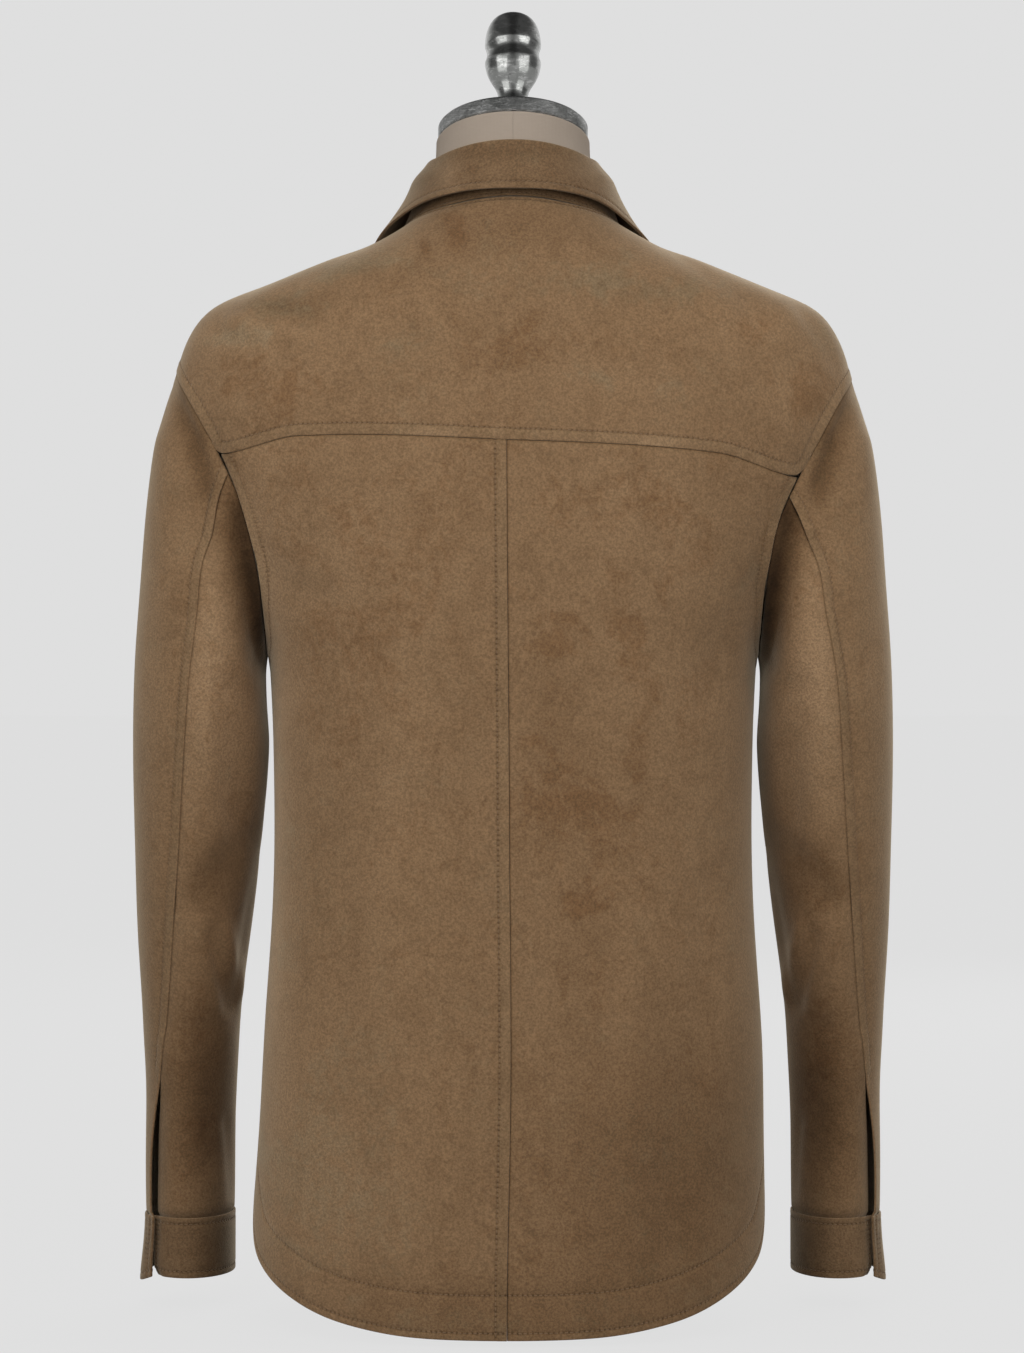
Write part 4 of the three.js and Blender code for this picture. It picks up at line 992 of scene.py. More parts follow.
def blended(tree, share, first, second, how="MIX"):
    """A mix of two colours, by the share of the second."""
    node = add_node(tree, "ShaderNodeMix", data_type="RGBA", blend_type=how)
    for key, value in (("Factor_Float", share), ("A_Color", first), ("B_Color", second)):
        socket = next(s for s in node.inputs if s.identifier == key)
        if isinstance(value, bpy.types.NodeSocket):
            tree.links.new(value, socket)
        else:
            socket.default_value = value if key == "Factor_Float" else (*value, 1.0)[:4]
    return next(s for s in node.outputs if s.identifier == "Result_Color")


def relief(tree, height, strength, distance=0.0006, under=None):
    """The normal that a relief gives, on top of another relief's."""
    inputs = {"Strength": strength, "Distance": distance, "Height": height}
    if under:
        inputs["Normal"] = under
    return add_node(tree, "ShaderNodeBump", inputs).outputs["Normal"]


def shades(colour, *factors):
    """A colour made darker or lighter by each factor."""
    return [[c * factor for c in colour] for factor in factors]


NAP_STRETCH = (1.0, 1.0, 0.28)  # long streaks down the cloth
SMUDGES, BRUSH_STROKES = 2.2, 5.5  # how many of them for each patch, along a line
COARSE_GRAIN = 0.62  # grains per metre of the coarser grain, as a share of the finer one's


def suede_nap_group():
    """Patches where the nap lies another way, smudges, fine grain and the nap's relief."""
    group, given, out = new_group(
        "suede nap",
        {"Patches per Metre": 16.0, "Grains per Metre": 1000.0},
        ["Patch", "Smudge", "Streak", "Brush", "Grain", "Height"],
    )
    place = object_place(group)
    patches = given.outputs["Patches per Metre"]
    grains = given.outputs["Grains per Metre"]
    patch = noise_value(group, place, patches, detail=3.0, rough=0.6, warp=0.8)
    smudges = times(group, patches, SMUDGES)
    smudge = noise_value(group, place, smudges, detail=4.0, rough=0.62, warp=1.2)
    down = stretched(group, place, NAP_STRETCH)
    streak = noise_value(group, down, smudges, detail=3.0, rough=0.6, warp=0.6)
    strokes = times(group, patches, BRUSH_STROKES)
    brush = noise_value(group, place, strokes, detail=4.0, rough=0.66, warp=1.6)
    grain = noise_value(group, place, grains, detail=2.0, rough=0.7)
    coarse_grains = times(group, grains, COARSE_GRAIN)
    coarse = noise_value(group, place, coarse_grains, detail=1.0, rough=0.5)
    fill(group, out, {
        "Patch": spread(group, patch, 0.42, 0.58),
        "Smudge": spread(group, smudge, 0.5, 0.6),
        "Streak": spread(group, streak, 0.35, 0.68),
        "Brush": sums(group, "SUBTRACT", brush, 0.5),
        "Grain": times(group, sums(group, "ADD", grain, coarse), 0.5),
        "Height": weighted(group, grain, (coarse, 0.8)),
    })
    return group


def topstitching_group():
    """The puckers and needle holes of a row of stitches, from the panel's own marks."""
    group, given, out = new_group("topstitching", {"Pitch": 0.0034}, ["Row", "Hole"])
    turn = sums(group, "DIVIDE", 2 * math.pi, given.outputs["Pitch"])
    rows, holes = [], []
    for axis in ("x", "y"):
        rows.append(mark_value(group, "row_" + axis))
        wave = sums(group, "COSINE", times(group, mark_value(group, "travel_" + axis), turn))
        holes.append(times(group, rows[-1], spread(group, wave, -0.2, 1.0)))
    fill(group, out, {
        "Row": sums(group, "MAXIMUM", *rows),
        "Hole": sums(group, "MAXIMUM", *holes),
    })
    return group


# How far the nap and the sewing turn the suede warmer, deepen it and lighten it. The deepening
# by the seam line is painted shade along the seams, and that by the stitch rows and holes is
# painted shade in their puckers.
WARM_BY = {"Patch": 0.4, "Brush": 1.1}
DEPTH_AND_PAINTED_SHADE_BY = {"Smudge": 0.07, "Streak": 0.045, "Brush": 0.18, "line": 0.48, "Hole": 0.3, "Row": 0.1}
DEPTH_START = -0.05
WARM_FULL, COOL_FULL = (0.12, 0.62), (-0.12, -0.7)
BAND_COOL, RUB_LIGHT, RUB_TONE = 0.25, 0.22, 1.35
GRAIN_SHADES = (0.32, 0.68, 0.75, 1.23)
DARKEST, DEPTH_SHADE, DEPTH_GAMMA = 0.03, 0.7, 0.3
SUEDE_SHEEN_TINT = (1.0, 0.87, 0.66, 1.0)


def suede_material(name, tone, groups, colours):
    """Suede: the base colour shifted by its nap, with its patches, worn edges and seams, and with
    the painted shade and painted highlights that its marks carry.
    """
    material, tree, shader = new_material(name)
    base, warm, cool = [
        [tone * c for c in colour]
        for colour in (colours.suede, colours.suede_warm, colours.suede_cool)
    ]
    nap, sewing = [add_node(tree, "ShaderNodeGroup", node_tree=group) for group in groups]
    fill(tree, nap, {"Patches per Metre": colours.patches, "Grains per Metre": colours.grains})
    fill(tree, sewing, {"Pitch": colours.stitch_pitch})
    varying = {key: nap.outputs[key] for key in ("Patch", "Smudge", "Streak", "Brush")}
    varying |= {key: sewing.outputs[key] for key in ("Hole", "Row")}
    varying["line"] = mark_value(tree, "line")
    patch = sums(tree, "SUBTRACT", varying["Patch"], 0.5)
    lean = weighted(
        tree,
        mark_value(tree, "warm"),
        (patch, WARM_BY["Patch"]),
        (varying["Brush"], WARM_BY["Brush"]),
    )
    colour = blended(tree, spread(tree, lean, *WARM_FULL), base, warm)
    colour = blended(tree, spread(tree, lean, *COOL_FULL), colour, cool)
    # The depth: the painted shade and painted highlights of the dark mark, painted shade along the
    # seams and stitches, and the nap's own darker smudges, streaks and strokes.
    depth = sums(tree, "ADD", mark_value(tree, "dark"), DEPTH_START)
    depth = weighted(tree, depth, *[(varying[key], share) for key, share in DEPTH_AND_PAINTED_SHADE_BY.items()])
    colour = blended(tree, times(tree, mark_value(tree, "band"), BAND_COOL), colour, cool)
    rubbed = times(tree, mark_value(tree, "rub"), RUB_LIGHT)
    colour = blended(tree, rubbed, colour, *shades(base, RUB_TONE))
    shade = spread(tree, nap.outputs["Grain"], *GRAIN_SHADES)
    shadow = sums(tree, "SUBTRACT", 1.0, times(tree, depth, DEPTH_SHADE))
    shade = times(tree, shade, sums(tree, "MAXIMUM", shadow, DARKEST))
    richer = weighted(tree, 1.0, (depth, DEPTH_GAMMA))
    colour = add_node(tree, "ShaderNodeGamma", {"Color": colour, "Gamma": richer}).outputs[0]
    grey = add_node(tree, "ShaderNodeCombineColor", {"Red": shade, "Green": shade, "Blue": shade})
    grain = relief(tree, nap.outputs["Height"], strength=0.35)
    pulled = times(tree, varying["Hole"], -1.0)
    fill(tree, shader, {
        "Base Color": blended(tree, 1.0, colour, grey.outputs["Color"], "MULTIPLY"),
        "Normal": relief(tree, pulled, strength=0.7, distance=0.0005, under=grain),
        "Roughness": 0.92,
        "Specular IOR Level": 0.12,
        "Sheen Weight": 0.55,
        "Sheen Roughness": 0.42,
        "Sheen Tint": SUEDE_SHEEN_TINT,
    })
    return material


def thread_material(colours):
    material, tree, shader = new_material("matching thread")
    place = object_place(tree)
    wear = noise_value(tree, place, 260.0, detail=2.0, rough=0.6)
    colour = blended(tree, wear, *shades(colours.suede, 0.62, 0.95))
    fill(tree, shader, {"Base Color": colour, "Roughness": 0.7})
    return material


WEAVE = {"Scale": 330.0, "Distortion": 1.6, "Detail": 2.0, "Detail Scale": 2.0}
CENTRE_SEAM = (0.0002, 0.0009, 1.0, 0.0)
SOILED, SPECKED, LIT_THREAD, SEAM_TONE = 0.8, 0.72, 1.12, 0.55


def canvas_material(colours):
    """Plain woven cotton with a seam down the centre of the back."""
    material, tree, shader = new_material("form canvas")
    place = object_place(tree)
    light = list(colours.canvas)
    soiled, specked, seam_dark = shades(light, SOILED, SPECKED, SEAM_TONE)
    threads = [min(1.0, c) for c in shades(light, LIT_THREAD)[0]]
    weave = times(tree, *[wave_value(tree, place, axis, WEAVE) for axis in ("Z", "X")])
    soil = noise_value(tree, place, 24.0, detail=4.0, rough=0.6, warp=0.5)
    speck = noise_value(tree, place, 420.0, detail=3.0, rough=0.7)
    axes = add_node(tree, "ShaderNodeSeparateXYZ", {"Vector": place}).outputs
    seam = spread(tree, sums(tree, "ABSOLUTE", axes["X"]), *CENTRE_SEAM)
    seam = times(tree, seam, spread(tree, axes["Y"], 0.0, 0.002))
    colour = blended(tree, soil, soiled, light)
    colour = blended(tree, times(tree, speck, 0.35), colour, specked)
    colour = blended(tree, times(tree, weave, 0.3), colour, threads)
    colour = blended(tree, times(tree, seam, 0.2), colour, seam_dark)
    height = sums(tree, "SUBTRACT", times(tree, weave, 0.3), seam)
    fill(tree, shader, {
        "Base Color": colour,
        "Normal": relief(tree, height, strength=0.4),
        "Roughness": 0.88,
        "Specular IOR Level": 0.2,
    })
    return material


BRUSHED = (0.25, 0.25, 1.0)
SCRATCHES, PITS = 11.0, 9.0  # how many of them for each mark of patina, along a line
PIT_TONE = 0.5
ROUGH_PATINA = 1.5  # times the roughness of the bare metal


def metal_material(name, dark, bright, marks, roughness, strength):
    """Cast or turned metal with patina in its hollows and rubbed places."""
    material, tree, shader = new_material(name)
    place = object_place(tree)
    brushed = stretched(tree, place, BRUSHED)
    patina = noise_value(tree, place, marks, detail=5.0, rough=0.65, warp=0.4)
    scratch = noise_value(tree, brushed, marks * SCRATCHES, detail=4.0, rough=0.7, warp=0.6)
    pits = noise_value(tree, place, marks * PITS, detail=3.0, rough=0.6)
    rubbed = spread(tree, patina, 0.3, 0.72, 0.0, 0.5)
    rubbed = sums(tree, "ADD", rubbed, spread(tree, scratch, 0.5, 0.68, 0.0, 0.7))
    colour = blended(tree, rubbed, list(dark), list(bright))
    pitted = spread(tree, pits, 0.56, 0.7, 0.0, 0.5)
    height = weighted(tree, pits, (scratch, 0.6))
    fill(tree, shader, {
        "Base Color": blended(tree, pitted, colour, *shades(dark, PIT_TONE)),
        "Roughness": spread(tree, patina, 0.3, 0.7, roughness * ROUGH_PATINA, roughness),
        "Normal": relief(tree, height, strength),
        "Metallic": 1.0,
    })
    return material


def horn_material(colours):
    """Dark horn with lighter streaks for the buttons."""
    material, tree, shader = new_material("horn button")
    place = object_place(tree)
    down = stretched(tree, place, (1.0, 1.0, 4.0))
    streaks = noise_value(tree, down, 120.0, detail=3.0, rough=0.6, warp=1.5)
    colour = blended(tree, spread(tree, streaks, 0.4, 0.66), *shades(colours.horn, 1.0, 3.2))
    fill(tree, shader, {"Base Color": colour, "Roughness": 0.32})
    return material


# ------------------------------------------------------------------ dress form and buttons

CAP_TILT = math.radians(16.5)
NECK_TILT = math.radians(14)
FINIAL_PROFILE = table("radius height", [
    (0.017, 0.0), (0.0172, 0.0022), (0.0142, 0.0056), (0.0118, 0.01), (0.0104, 0.016),
    (0.01, 0.023), (0.0124, 0.0288), (0.0152, 0.033), (0.0178, 0.038), (0.019, 0.043),
    (0.0196, 0.0468), (0.0194, 0.0476), (0.0184, 0.05), (0.0179, 0.0534), (0.0184, 0.0566),
    (0.0194, 0.0592), (0.0196, 0.06), (0.0194, 0.0636), (0.0188, 0.0682), (0.0174, 0.0735),
    (0.0148, 0.0783), (0.0108, 0.0818), (0.0058, 0.0836), (0.0, 0.0841),
])


SHARP_SHADING = math.radians(40)
SHARP_RIM = 0.9  # the angle, in radians, from which an edge counts as a rim
RIM_CREASE = 0.9


def rims_of(bm):
    """The edges where two faces meet at a sharp angle."""
    return [e for e in bm.edges if len(e.link_faces) == 2 and e.calc_face_angle() > SHARP_RIM]


def turned(name, profile, sides, placing, material, softened):
    """A turned solid: a profile spun about the Z axis, softened, and put in its place."""
    bm = bmesh.new()
    verts = [bm.verts.new((row["radius"], 0.0, row["height"])) for row in profile]
    edges = [bm.edges.new(pair) for pair in zip(verts[:-1], verts[1:])]
    bmesh.ops.spin(
        bm,
        geom=verts + edges,
        cent=(0, 0, 0),
        axis=(0, 0, 1),
        dvec=(0, 0, 0),
        angle=2 * math.pi,
        steps=sides,
        use_merge=True,
    )
    bmesh.ops.remove_doubles(bm, verts=bm.verts, dist=TINY)
    rims = [e for e in bm.edges if e.is_boundary]
    if rims:
        bmesh.ops.holes_fill(bm, edges=rims, sides=0)
    bmesh.ops.recalc_face_normals(bm, faces=bm.faces)
    if softened:
        bmesh.ops.bevel(
            bm,
            geom=rims_of(bm),
            offset=softened,
            segments=3,
            profile=0.5,
            affect="EDGES",
            material=-1,
            clamp_overlap=True,
        )
    bmesh.ops.transform(bm, matrix=placing, verts=bm.verts)
    piece = scene_object(name, bm, material)
    piece.data.set_sharp_from_angle(angle=SHARP_SHADING)
    return piece


def smoothed_copy(name, node, levels, material):
    """A CAD solid's own shape, merged and smoothed, with its sharp rims kept."""
    bm = node_mesh(node)
    bmesh.ops.join_triangles(
        bm,
        faces=bm.faces,
        cmp_seam=False,
        cmp_sharp=False,
        cmp_uvs=False,
        cmp_vcols=False,
        cmp_materials=False,
        angle_face_threshold=0.6,
        angle_shape_threshold=1.2,
    )
    bm.edges.index_update()
    rims = [e.index for e in rims_of(bm)]
    piece = scene_object(name, bm, material)
    layer = piece.data.attributes.new("crease_edge", "FLOAT", "EDGE")
    for index in rims:
        layer.data[index].value = RIM_CREASE
    smooth_by(piece, levels)
    return piece


def finish_piece(piece, slot, *nodes):
    """Rides the piece on the one body and hides the CAD nodes that it stands in for."""
    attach(piece, "root")
    if nodes:
        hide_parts(*nodes)
    return piece


# ------------------------------------------------------------------ settings

class JacketSuede(bpy.types.PropertyGroup):
    """Sizes and colours of the suede and its sewing."""

    suede: bpy.props.FloatVectorProperty(
        name="Suede", description="Base colour of the suede", subtype="COLOR",
        default=(0.233, 0.14, 0.0715),
    )
    suede_warm: bpy.props.FloatVectorProperty(
        name="Warm patches", description="Where the nap lies away", subtype="COLOR",
        default=(0.2, 0.111, 0.052),
    )
    suede_cool: bpy.props.FloatVectorProperty(
        name="Olive patches", description="Where the nap is brushed up", subtype="COLOR",
        default=(0.216, 0.146, 0.08),
    )
    patches: bpy.props.FloatProperty(
        name="Patches per metre", description="Fineness of the nap's patches", default=15.0,
        min=1.0,
    )
    grains: bpy.props.FloatProperty(
        name="Grains per metre", description="Fineness of the nap's grain", default=1000.0,
        min=50.0,
    )
    horn: bpy.props.FloatVectorProperty(
        name="Horn", description="Darkest colour of the buttons", subtype="COLOR",
        default=(0.02, 0.012, 0.007),
    )
    body_cloth: bpy.props.FloatProperty(
        name="Body thickness", description="One layer of suede", unit="LENGTH", default=0.0012
    )
    stitch_pitch: bpy.props.FloatProperty(
        name="Stitch pitch", description="From one stitch to the next", unit="LENGTH",
        default=0.0034,
    )
    stitch_length: bpy.props.FloatProperty(
        name="Stitch length", description="Length of thread that shows", unit="LENGTH",
        default=0.0026,
    )
    thread: bpy.props.FloatProperty(
        name="Thread", description="Thickness of the thread", unit="LENGTH", default=0.0006
    )


class JacketForm(bpy.types.PropertyGroup):
    """Colours of the dress form."""

    canvas: bpy.props.FloatVectorProperty(
        name="Canvas", description="Colour of the form's cotton cover", subtype="COLOR",
        default=(0.41, 0.34, 0.275),
    )
    pewter_dark: bpy.props.FloatVectorProperty(
        name="Pewter patina", description="Metal in its hollows", subtype="COLOR",
        default=(0.13, 0.133, 0.128),
    )
    pewter_bright: bpy.props.FloatVectorProperty(
        name="Rubbed pewter", description="Metal where it is rubbed", subtype="COLOR",
        default=(0.5, 0.5, 0.49),
    )


class JacketStage(bpy.types.PropertyGroup):
    """The floor, the light and the camera."""

    backdrop: bpy.props.FloatProperty(
        name="Backdrop", description="Brightness of the floor and of the room",
        default=0.737, min=0.0,
    )
    room_light: bpy.props.FloatProperty(
        name="Room light", description="Strength of the even light", default=0.45, min=0.0
    )
    key_light: bpy.props.FloatProperty(
        name="Key light", description="Power of the overhead light", unit="POWER",
        default=24.0, min=0.0,
    )
    camera_distance: bpy.props.FloatProperty(
        name="Camera distance", description="From the form's axis", unit="LENGTH", default=2.6
    )
    camera_height: bpy.props.FloatProperty(
        name="Camera height", description="Above the floor", unit="LENGTH", default=0.441
    )
    view_angle: bpy.props.FloatProperty(
        name="View angle", description="Of the picture's long side", subtype="ANGLE",
        default=math.radians(20.36),
    )


TONES = {"body": 1.0, "collar": 0.74, "cuff": 0.74}
made = {}  # grids and materials that one operator hands on to the next


def suede_settings():
    return bpy.context.scene.jacket_suede


def suede_for(kind):
    """The suede of the body, the collar or the cuffs, made once each."""
    settings = suede_settings()
    if "groups" not in made:
        made["groups"] = (suede_nap_group(), topstitching_group())
        made["thread"] = thread_material(settings)
    if kind not in made:
        made[kind] = suede_material("suede " + kind, TONES[kind], made["groups"], settings)
    return made[kind]


def sewn_piece(name, points, kind):
    """Makes a panel of cloth from its refined grid, with its stitches as their own piece."""
    settings = suede_settings()
    cloth = Cloth(name, points)
    cloth.sew()
    crease(cloth)
    cloth.settle()
    patch(cloth)
    wall = settings.body_cloth * PANELS[name]["wall"] / BODY_WALL
    piece = cloth_object(name + "_suede", cloth, wall, suede_for(kind))
    finish_piece(piece, "suede", name)
    placings = [m for line in cloth.stitch_lines() for m in along_line(line, settings)]
    threads = []
    if placings:
        threads.append(stitched(name + "_stitches", placings, made["thread"]))
        finish_piece(threads[0], "suede")
    made[name] = cloth
    return piece


# ------------------------------------------------------------------ operators

# The stretches of a panel's edge that run smooth, in cells of the node's own grid.
TRUE_SEAMS = {
    "yoke": [("bottom", 6, 24)],
    "back_left": [("top", 0, 9)],
    "back_right": [("top", 0, 9)],
}
HEM_SHIFT, HEM_HEIGHTS = 0.004, (0.0, 0.2)  # the body hangs a little to its left at the hem


class JACKET_OT_coat(bpy.types.Operator):
    """Make the yoke, backs, fronts and sleeves of suede"""

    bl_idname = "jacket.coat"
    bl_label = "Coat panels"

    def execute(self, context):
        for name, points in refined(COAT, SEAM_WELD).items():
            for edge, first, last in TRUE_SEAMS.get(name, ()):
                true_seam(points, edge, first, last)
            if "sleeve" in name:
                bow_seam(name, points)
                open_vent(name, points)
            else:
                points[:, :, 0] += HEM_SHIFT * (1.0 - smoothstep(points[:, :, 2], *HEM_HEIGHTS))
            sewn_piece(name, points, "body")
        return {"FINISHED"}


# Where each shift of the collar is at work, in metres: from none of it to all of it.
ARCH = {"rise": 0.0014, "drop": 0.0048, "span": 0.041, "end": 0.052}
ARCH_HEIGHTS, ARCH_BEHIND = (0.77, 0.802), (-0.035, 0.0)
SWELL, SWELL_HEIGHT, SWELL_REACH = 0.0032, 0.786, 0.011
SWELL_ASIDE, SWELL_BEHIND = (0.045, 0.062), (-0.06, -0.03)
END_DROP, END_X, END_REACH = 0.0036, -0.078, 0.018
END_HEIGHTS, END_BEHIND = (0.745, 0.775), (-0.02, 0.01)


def shape_collar(grid):
    """Arches the collar's fold over the back of the neck and settles its right end."""
    x, y, z = (grid[:, :, k].copy() for k in range(3))
    out = np.minimum(np.abs(x), ARCH["end"]) / ARCH["span"]
    arch = ARCH["rise"] - ARCH["drop"] * out**2
    grid[:, :, 2] += arch * smoothstep(z, *ARCH_HEIGHTS) * smoothstep(y, *ARCH_BEHIND)
    swell = bell(z, SWELL_HEIGHT, SWELL_REACH) * smoothstep(np.abs(x), *SWELL_ASIDE)
    grid[:, :, 0] += SWELL * np.sign(x) * swell * smoothstep(y, *SWELL_BEHIND)
    end = bell(x, END_X, END_REACH) * (1.0 - smoothstep(z, *END_HEIGHTS))
    grid[:, :, 2] -= END_DROP * end * smoothstep(y, *END_BEHIND)


VENT_IN, VENT_BACK = 0.0008, 0.002
VENT_TOP, VENT_FOOT, VENT_HELD = (-0.172, -0.135), (0.066, 0.11), 0.55
VENT_COLUMNS = 14  # fine columns from the edge over which the draw dies away


def open_vent(name, grid):
    """Opens the sleeve's vent a little: its under edge draws in from its outer edge."""
    if not name.startswith("under"):
        return
    columns = np.arange(grid.shape[1])[None, :]
    z = grid[:, :, 2]
    share = VENT_HELD + (1.0 - VENT_HELD) * smoothstep(z, *VENT_FOOT)
    share = share * smoothstep(-z, *VENT_TOP) * (1.0 - smoothstep(columns, 0.0, VENT_COLUMNS))
    grid[:, :, 0] -= side_of(name) * VENT_IN * share
    grid[:, :, 1] -= VENT_BACK * share


# How far the sleeve's back seam bows towards the body below the armhole, in metres: at which
# height, by how much and over what reach.
SEAM_BOWS = {
    "left": {"height": 0.545, "shift": 0.0075, "reach": 0.022},
    "right": {"height": 0.536, "shift": 0.004, "reach": 0.018},
}
BOW_FADE = 30  # fine columns over which the bow dies away
ARMHOLE_HOLD = 18  # fine rows over which it starts below the armhole


def bow_seam(name, grid):
    """Bows the sleeve's back seam as the cloth hangs from the armhole."""
    bow = SEAM_BOWS[name.rsplit("_", 1)[1]]
    rows, columns = np.arange(grid.shape[0])[:, None], np.arange(grid.shape[1])[None, :]
    fade = smoothstep(rows, 0.0, ARMHOLE_HOLD) * (1.0 - smoothstep(columns, 0.0, BOW_FADE))
    share = bell(grid[:, :, 2], bow["height"], bow["reach"]) * fade
    grid[:, :, 0] -= side_of(name) * bow["shift"] * share


TIP_FLARE, TIP_HEIGHTS, TIP_COLUMNS = 0.0034, (-0.064, -0.018), (2.0, 28.0)
HEEL_DRAW, HEEL_HEIGHTS, HEEL_COLUMNS = 0.003, (-0.031, -0.019), 10
OVER_SWELL, OVER_COLUMNS = 0.0016, 30


def flare_cuff(name, grid):
    """Flares the tip of the cuff's lapping end and rounds the end that it laps over."""
    side = side_of(name)
    columns = np.arange(grid.shape[1])[None, :]
    last = grid.shape[1] - 1
    z = grid[:, :, 2].copy()
    tip = smoothstep(-z, *TIP_HEIGHTS) * (1.0 - smoothstep(columns, *TIP_COLUMNS))
    grid[:, :, 0] += side * TIP_FLARE * tip
    lower = smoothstep(-z, *HEEL_HEIGHTS)
    heel = lower * smoothstep(columns, last - HEEL_COLUMNS, last)
    grid[:, :, 0] -= side * HEEL_DRAW * heel
    over = (1.0 - lower) * smoothstep(columns, last - OVER_COLUMNS, last)
    grid[:, :, 0] += side * OVER_SWELL * over


class JACKET_OT_collar(bpy.types.Operator):
    """Make the collar's stand and its turned-down leaf"""

    bl_idname = "jacket.collar"
    bl_label = "Collar"

    def execute(self, context):
        for name in ("collar_stand", "collar_leaf"):
            grid = refined([name], WELD)[name]
            shape_collar(grid)
            sewn_piece(name, grid, "collar")
        return {"FINISHED"}


class JACKET_OT_cuffs(bpy.types.Operator):
    """Make the two cuffs"""

    bl_idname = "jacket.cuffs"
    bl_label = "Cuffs"

    def execute(self, context):
        for name in ("cuff_left", "cuff_right"):
            grid = refined([name], WELD)[name]
            flare_cuff(name, grid)
            sewn_piece(name, grid, "cuff")
        return {"FINISHED"}


class JACKET_OT_buttons(bpy.types.Operator):
    """Make the front's buttons and their sewn buttonholes"""

    bl_idname = "jacket.buttons"
    bl_label = "Buttons"

    def execute(self, context):
        horn = horn_material(suede_settings())
        for name in sorted(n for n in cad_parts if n.startswith("button_")):
            make_button(name, horn)
        return {"FINISHED"}


class JACKET_OT_form(bpy.types.Operator):
    """Make the dress form: torso, neck, neck plate, finial, pole and foot"""

    bl_idname = "jacket.form"
    bl_label = "Dress form"

    def execute(self, context):
        make_form(context.scene.jacket_form)
        return {"FINISHED"}


class JACKET_OT_stage(bpy.types.Operator):
    """Make the floor, the lights and the camera"""

    bl_idname = "jacket.stage"
    bl_label = "Stage"

    def execute(self, context):
        scene = context.scene
        make_floor(scene.jacket_stage)
        make_room(scene, scene.jacket_stage)
        make_lamps(scene.jacket_stage.key_light)
        make_camera(scene, scene.jacket_stage)
        scene.view_settings.view_transform = "Standard"
        return {"FINISHED"}


BUTTON_PROFILE = table("radius height", [
    (0.0, 0.0), (0.0062, 0.0), (0.0074, 0.0008), (0.0075, 0.0018), (0.0071, 0.0026),
    (0.0063, 0.0028), (0.0055, 0.0023), (0.0046, 0.0019), (0.0, 0.0018),
])
BUTTON_SIDES = 36
BACK_BELOW = 0.0014  # from the middle of the button's box down to its back
HOLE_ASIDE, HOLE_LIFT, HOLE_SIZE = 0.0014, 0.00172, (0.0013, 0.0013, 0.0005)
BAR_LIFT, BAR_SIZE = 0.0022, (0.0036, 0.0007, 0.0006)
BUTTONHOLE = {"length": 0.02, "gap": 0.0009, "stitch": 0.0024, "pitch": 0.0007}
BUTTONHOLE_LIFT, BUTTONHOLE_THREAD = 0.0001, 0.0006


def make_button(name, horn):
    """A dished button with four holes, its thread, and the buttonhole that it stands over."""
    low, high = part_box(name)
    middle = (low + high) / 2
    front = made["front_left"]
    gaps = np.linalg.norm(front.points - np.array(middle), axis=2)
    spot = np.unravel_index(np.argmin(gaps), gaps.shape)
    normal = Vector(front.normals()[spot])
    down = Vector((0, 0, -1))
    down = (down - normal * down.dot(normal)).normalized()
    side = normal.cross(down)
    turn = Matrix((side, down, normal)).transposed().to_4x4()
    base = middle - normal * BACK_BELOW
    placing = Matrix.Translation(base) @ turn
    button = turned(name + "_horn", BUTTON_PROFILE, BUTTON_SIDES, placing, horn, 0.0)
    finish_piece(button, "button", name)
    placings = []
    for x in (-HOLE_ASIDE, HOLE_ASIDE):
        for y in (-HOLE_ASIDE, HOLE_ASIDE):
            hole = base + side * x + down * y + normal * HOLE_LIFT
            placings.append(placed(hole, side, normal, *HOLE_SIZE))
        bar = base + side * x + normal * BAR_LIFT
        placings.append(placed(bar, down, normal, *BAR_SIZE))
    cloth = Vector(front.points[spot])
    size = (BUTTONHOLE["stitch"], BUTTONHOLE_THREAD, BUTTONHOLE_THREAD)
    for k in range(int(BUTTONHOLE["length"] / BUTTONHOLE["pitch"])):
        along = (k + 0.5) * BUTTONHOLE["pitch"] - BUTTONHOLE["length"] / 2
        for flank in (-1, 1):
            shift = flank * (BUTTONHOLE["gap"] + BUTTONHOLE["stitch"] / 2)
            place = cloth + down * along + side * shift + normal * BUTTONHOLE_LIFT
            placings.append(placed(place, side, normal, *size))
    threads = stitched(name + "_thread", placings, made["thread"])
    finish_piece(threads, "button")


CAP = {"radius": 0.0517, "half": 0.00575, "lower rim": 0.0012, "upper rim": 0.0016}
NECK_LEAN_OVER = (0.05, 0.015)  # how far below the neck's top it begins and is full
CAP_ROUNDING, STEEL_ROUNDING = 0.0005, 0.0008
PLATE_SIDES, TUBE_SIDES = 96, 64
FOOT_WALL, FOOT_SHOULDER, FOOT_SLOPE = 0.008, (0.004, 0.012), 0.014
FINIAL_GAP = 0.0012
STEEL, BRIGHT_STEEL = (0.3, 0.3, 0.31), (0.5, 0.5, 0.52)


def lean_neck(neck):
    """Leans the neck's top to the slope of the metal plate that covers it."""
    low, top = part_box("form_neck")
    middle = (low.y + top.y) / 2
    lean = math.tan(CAP_TILT) - math.tan(NECK_TILT)
    begin, full = NECK_LEAN_OVER
    for vert in neck.data.vertices:
        share = smoothstep(vert.co.z, top.z - begin, top.z - full)
        vert.co.z += float(share) * lean * (vert.co.y - middle)


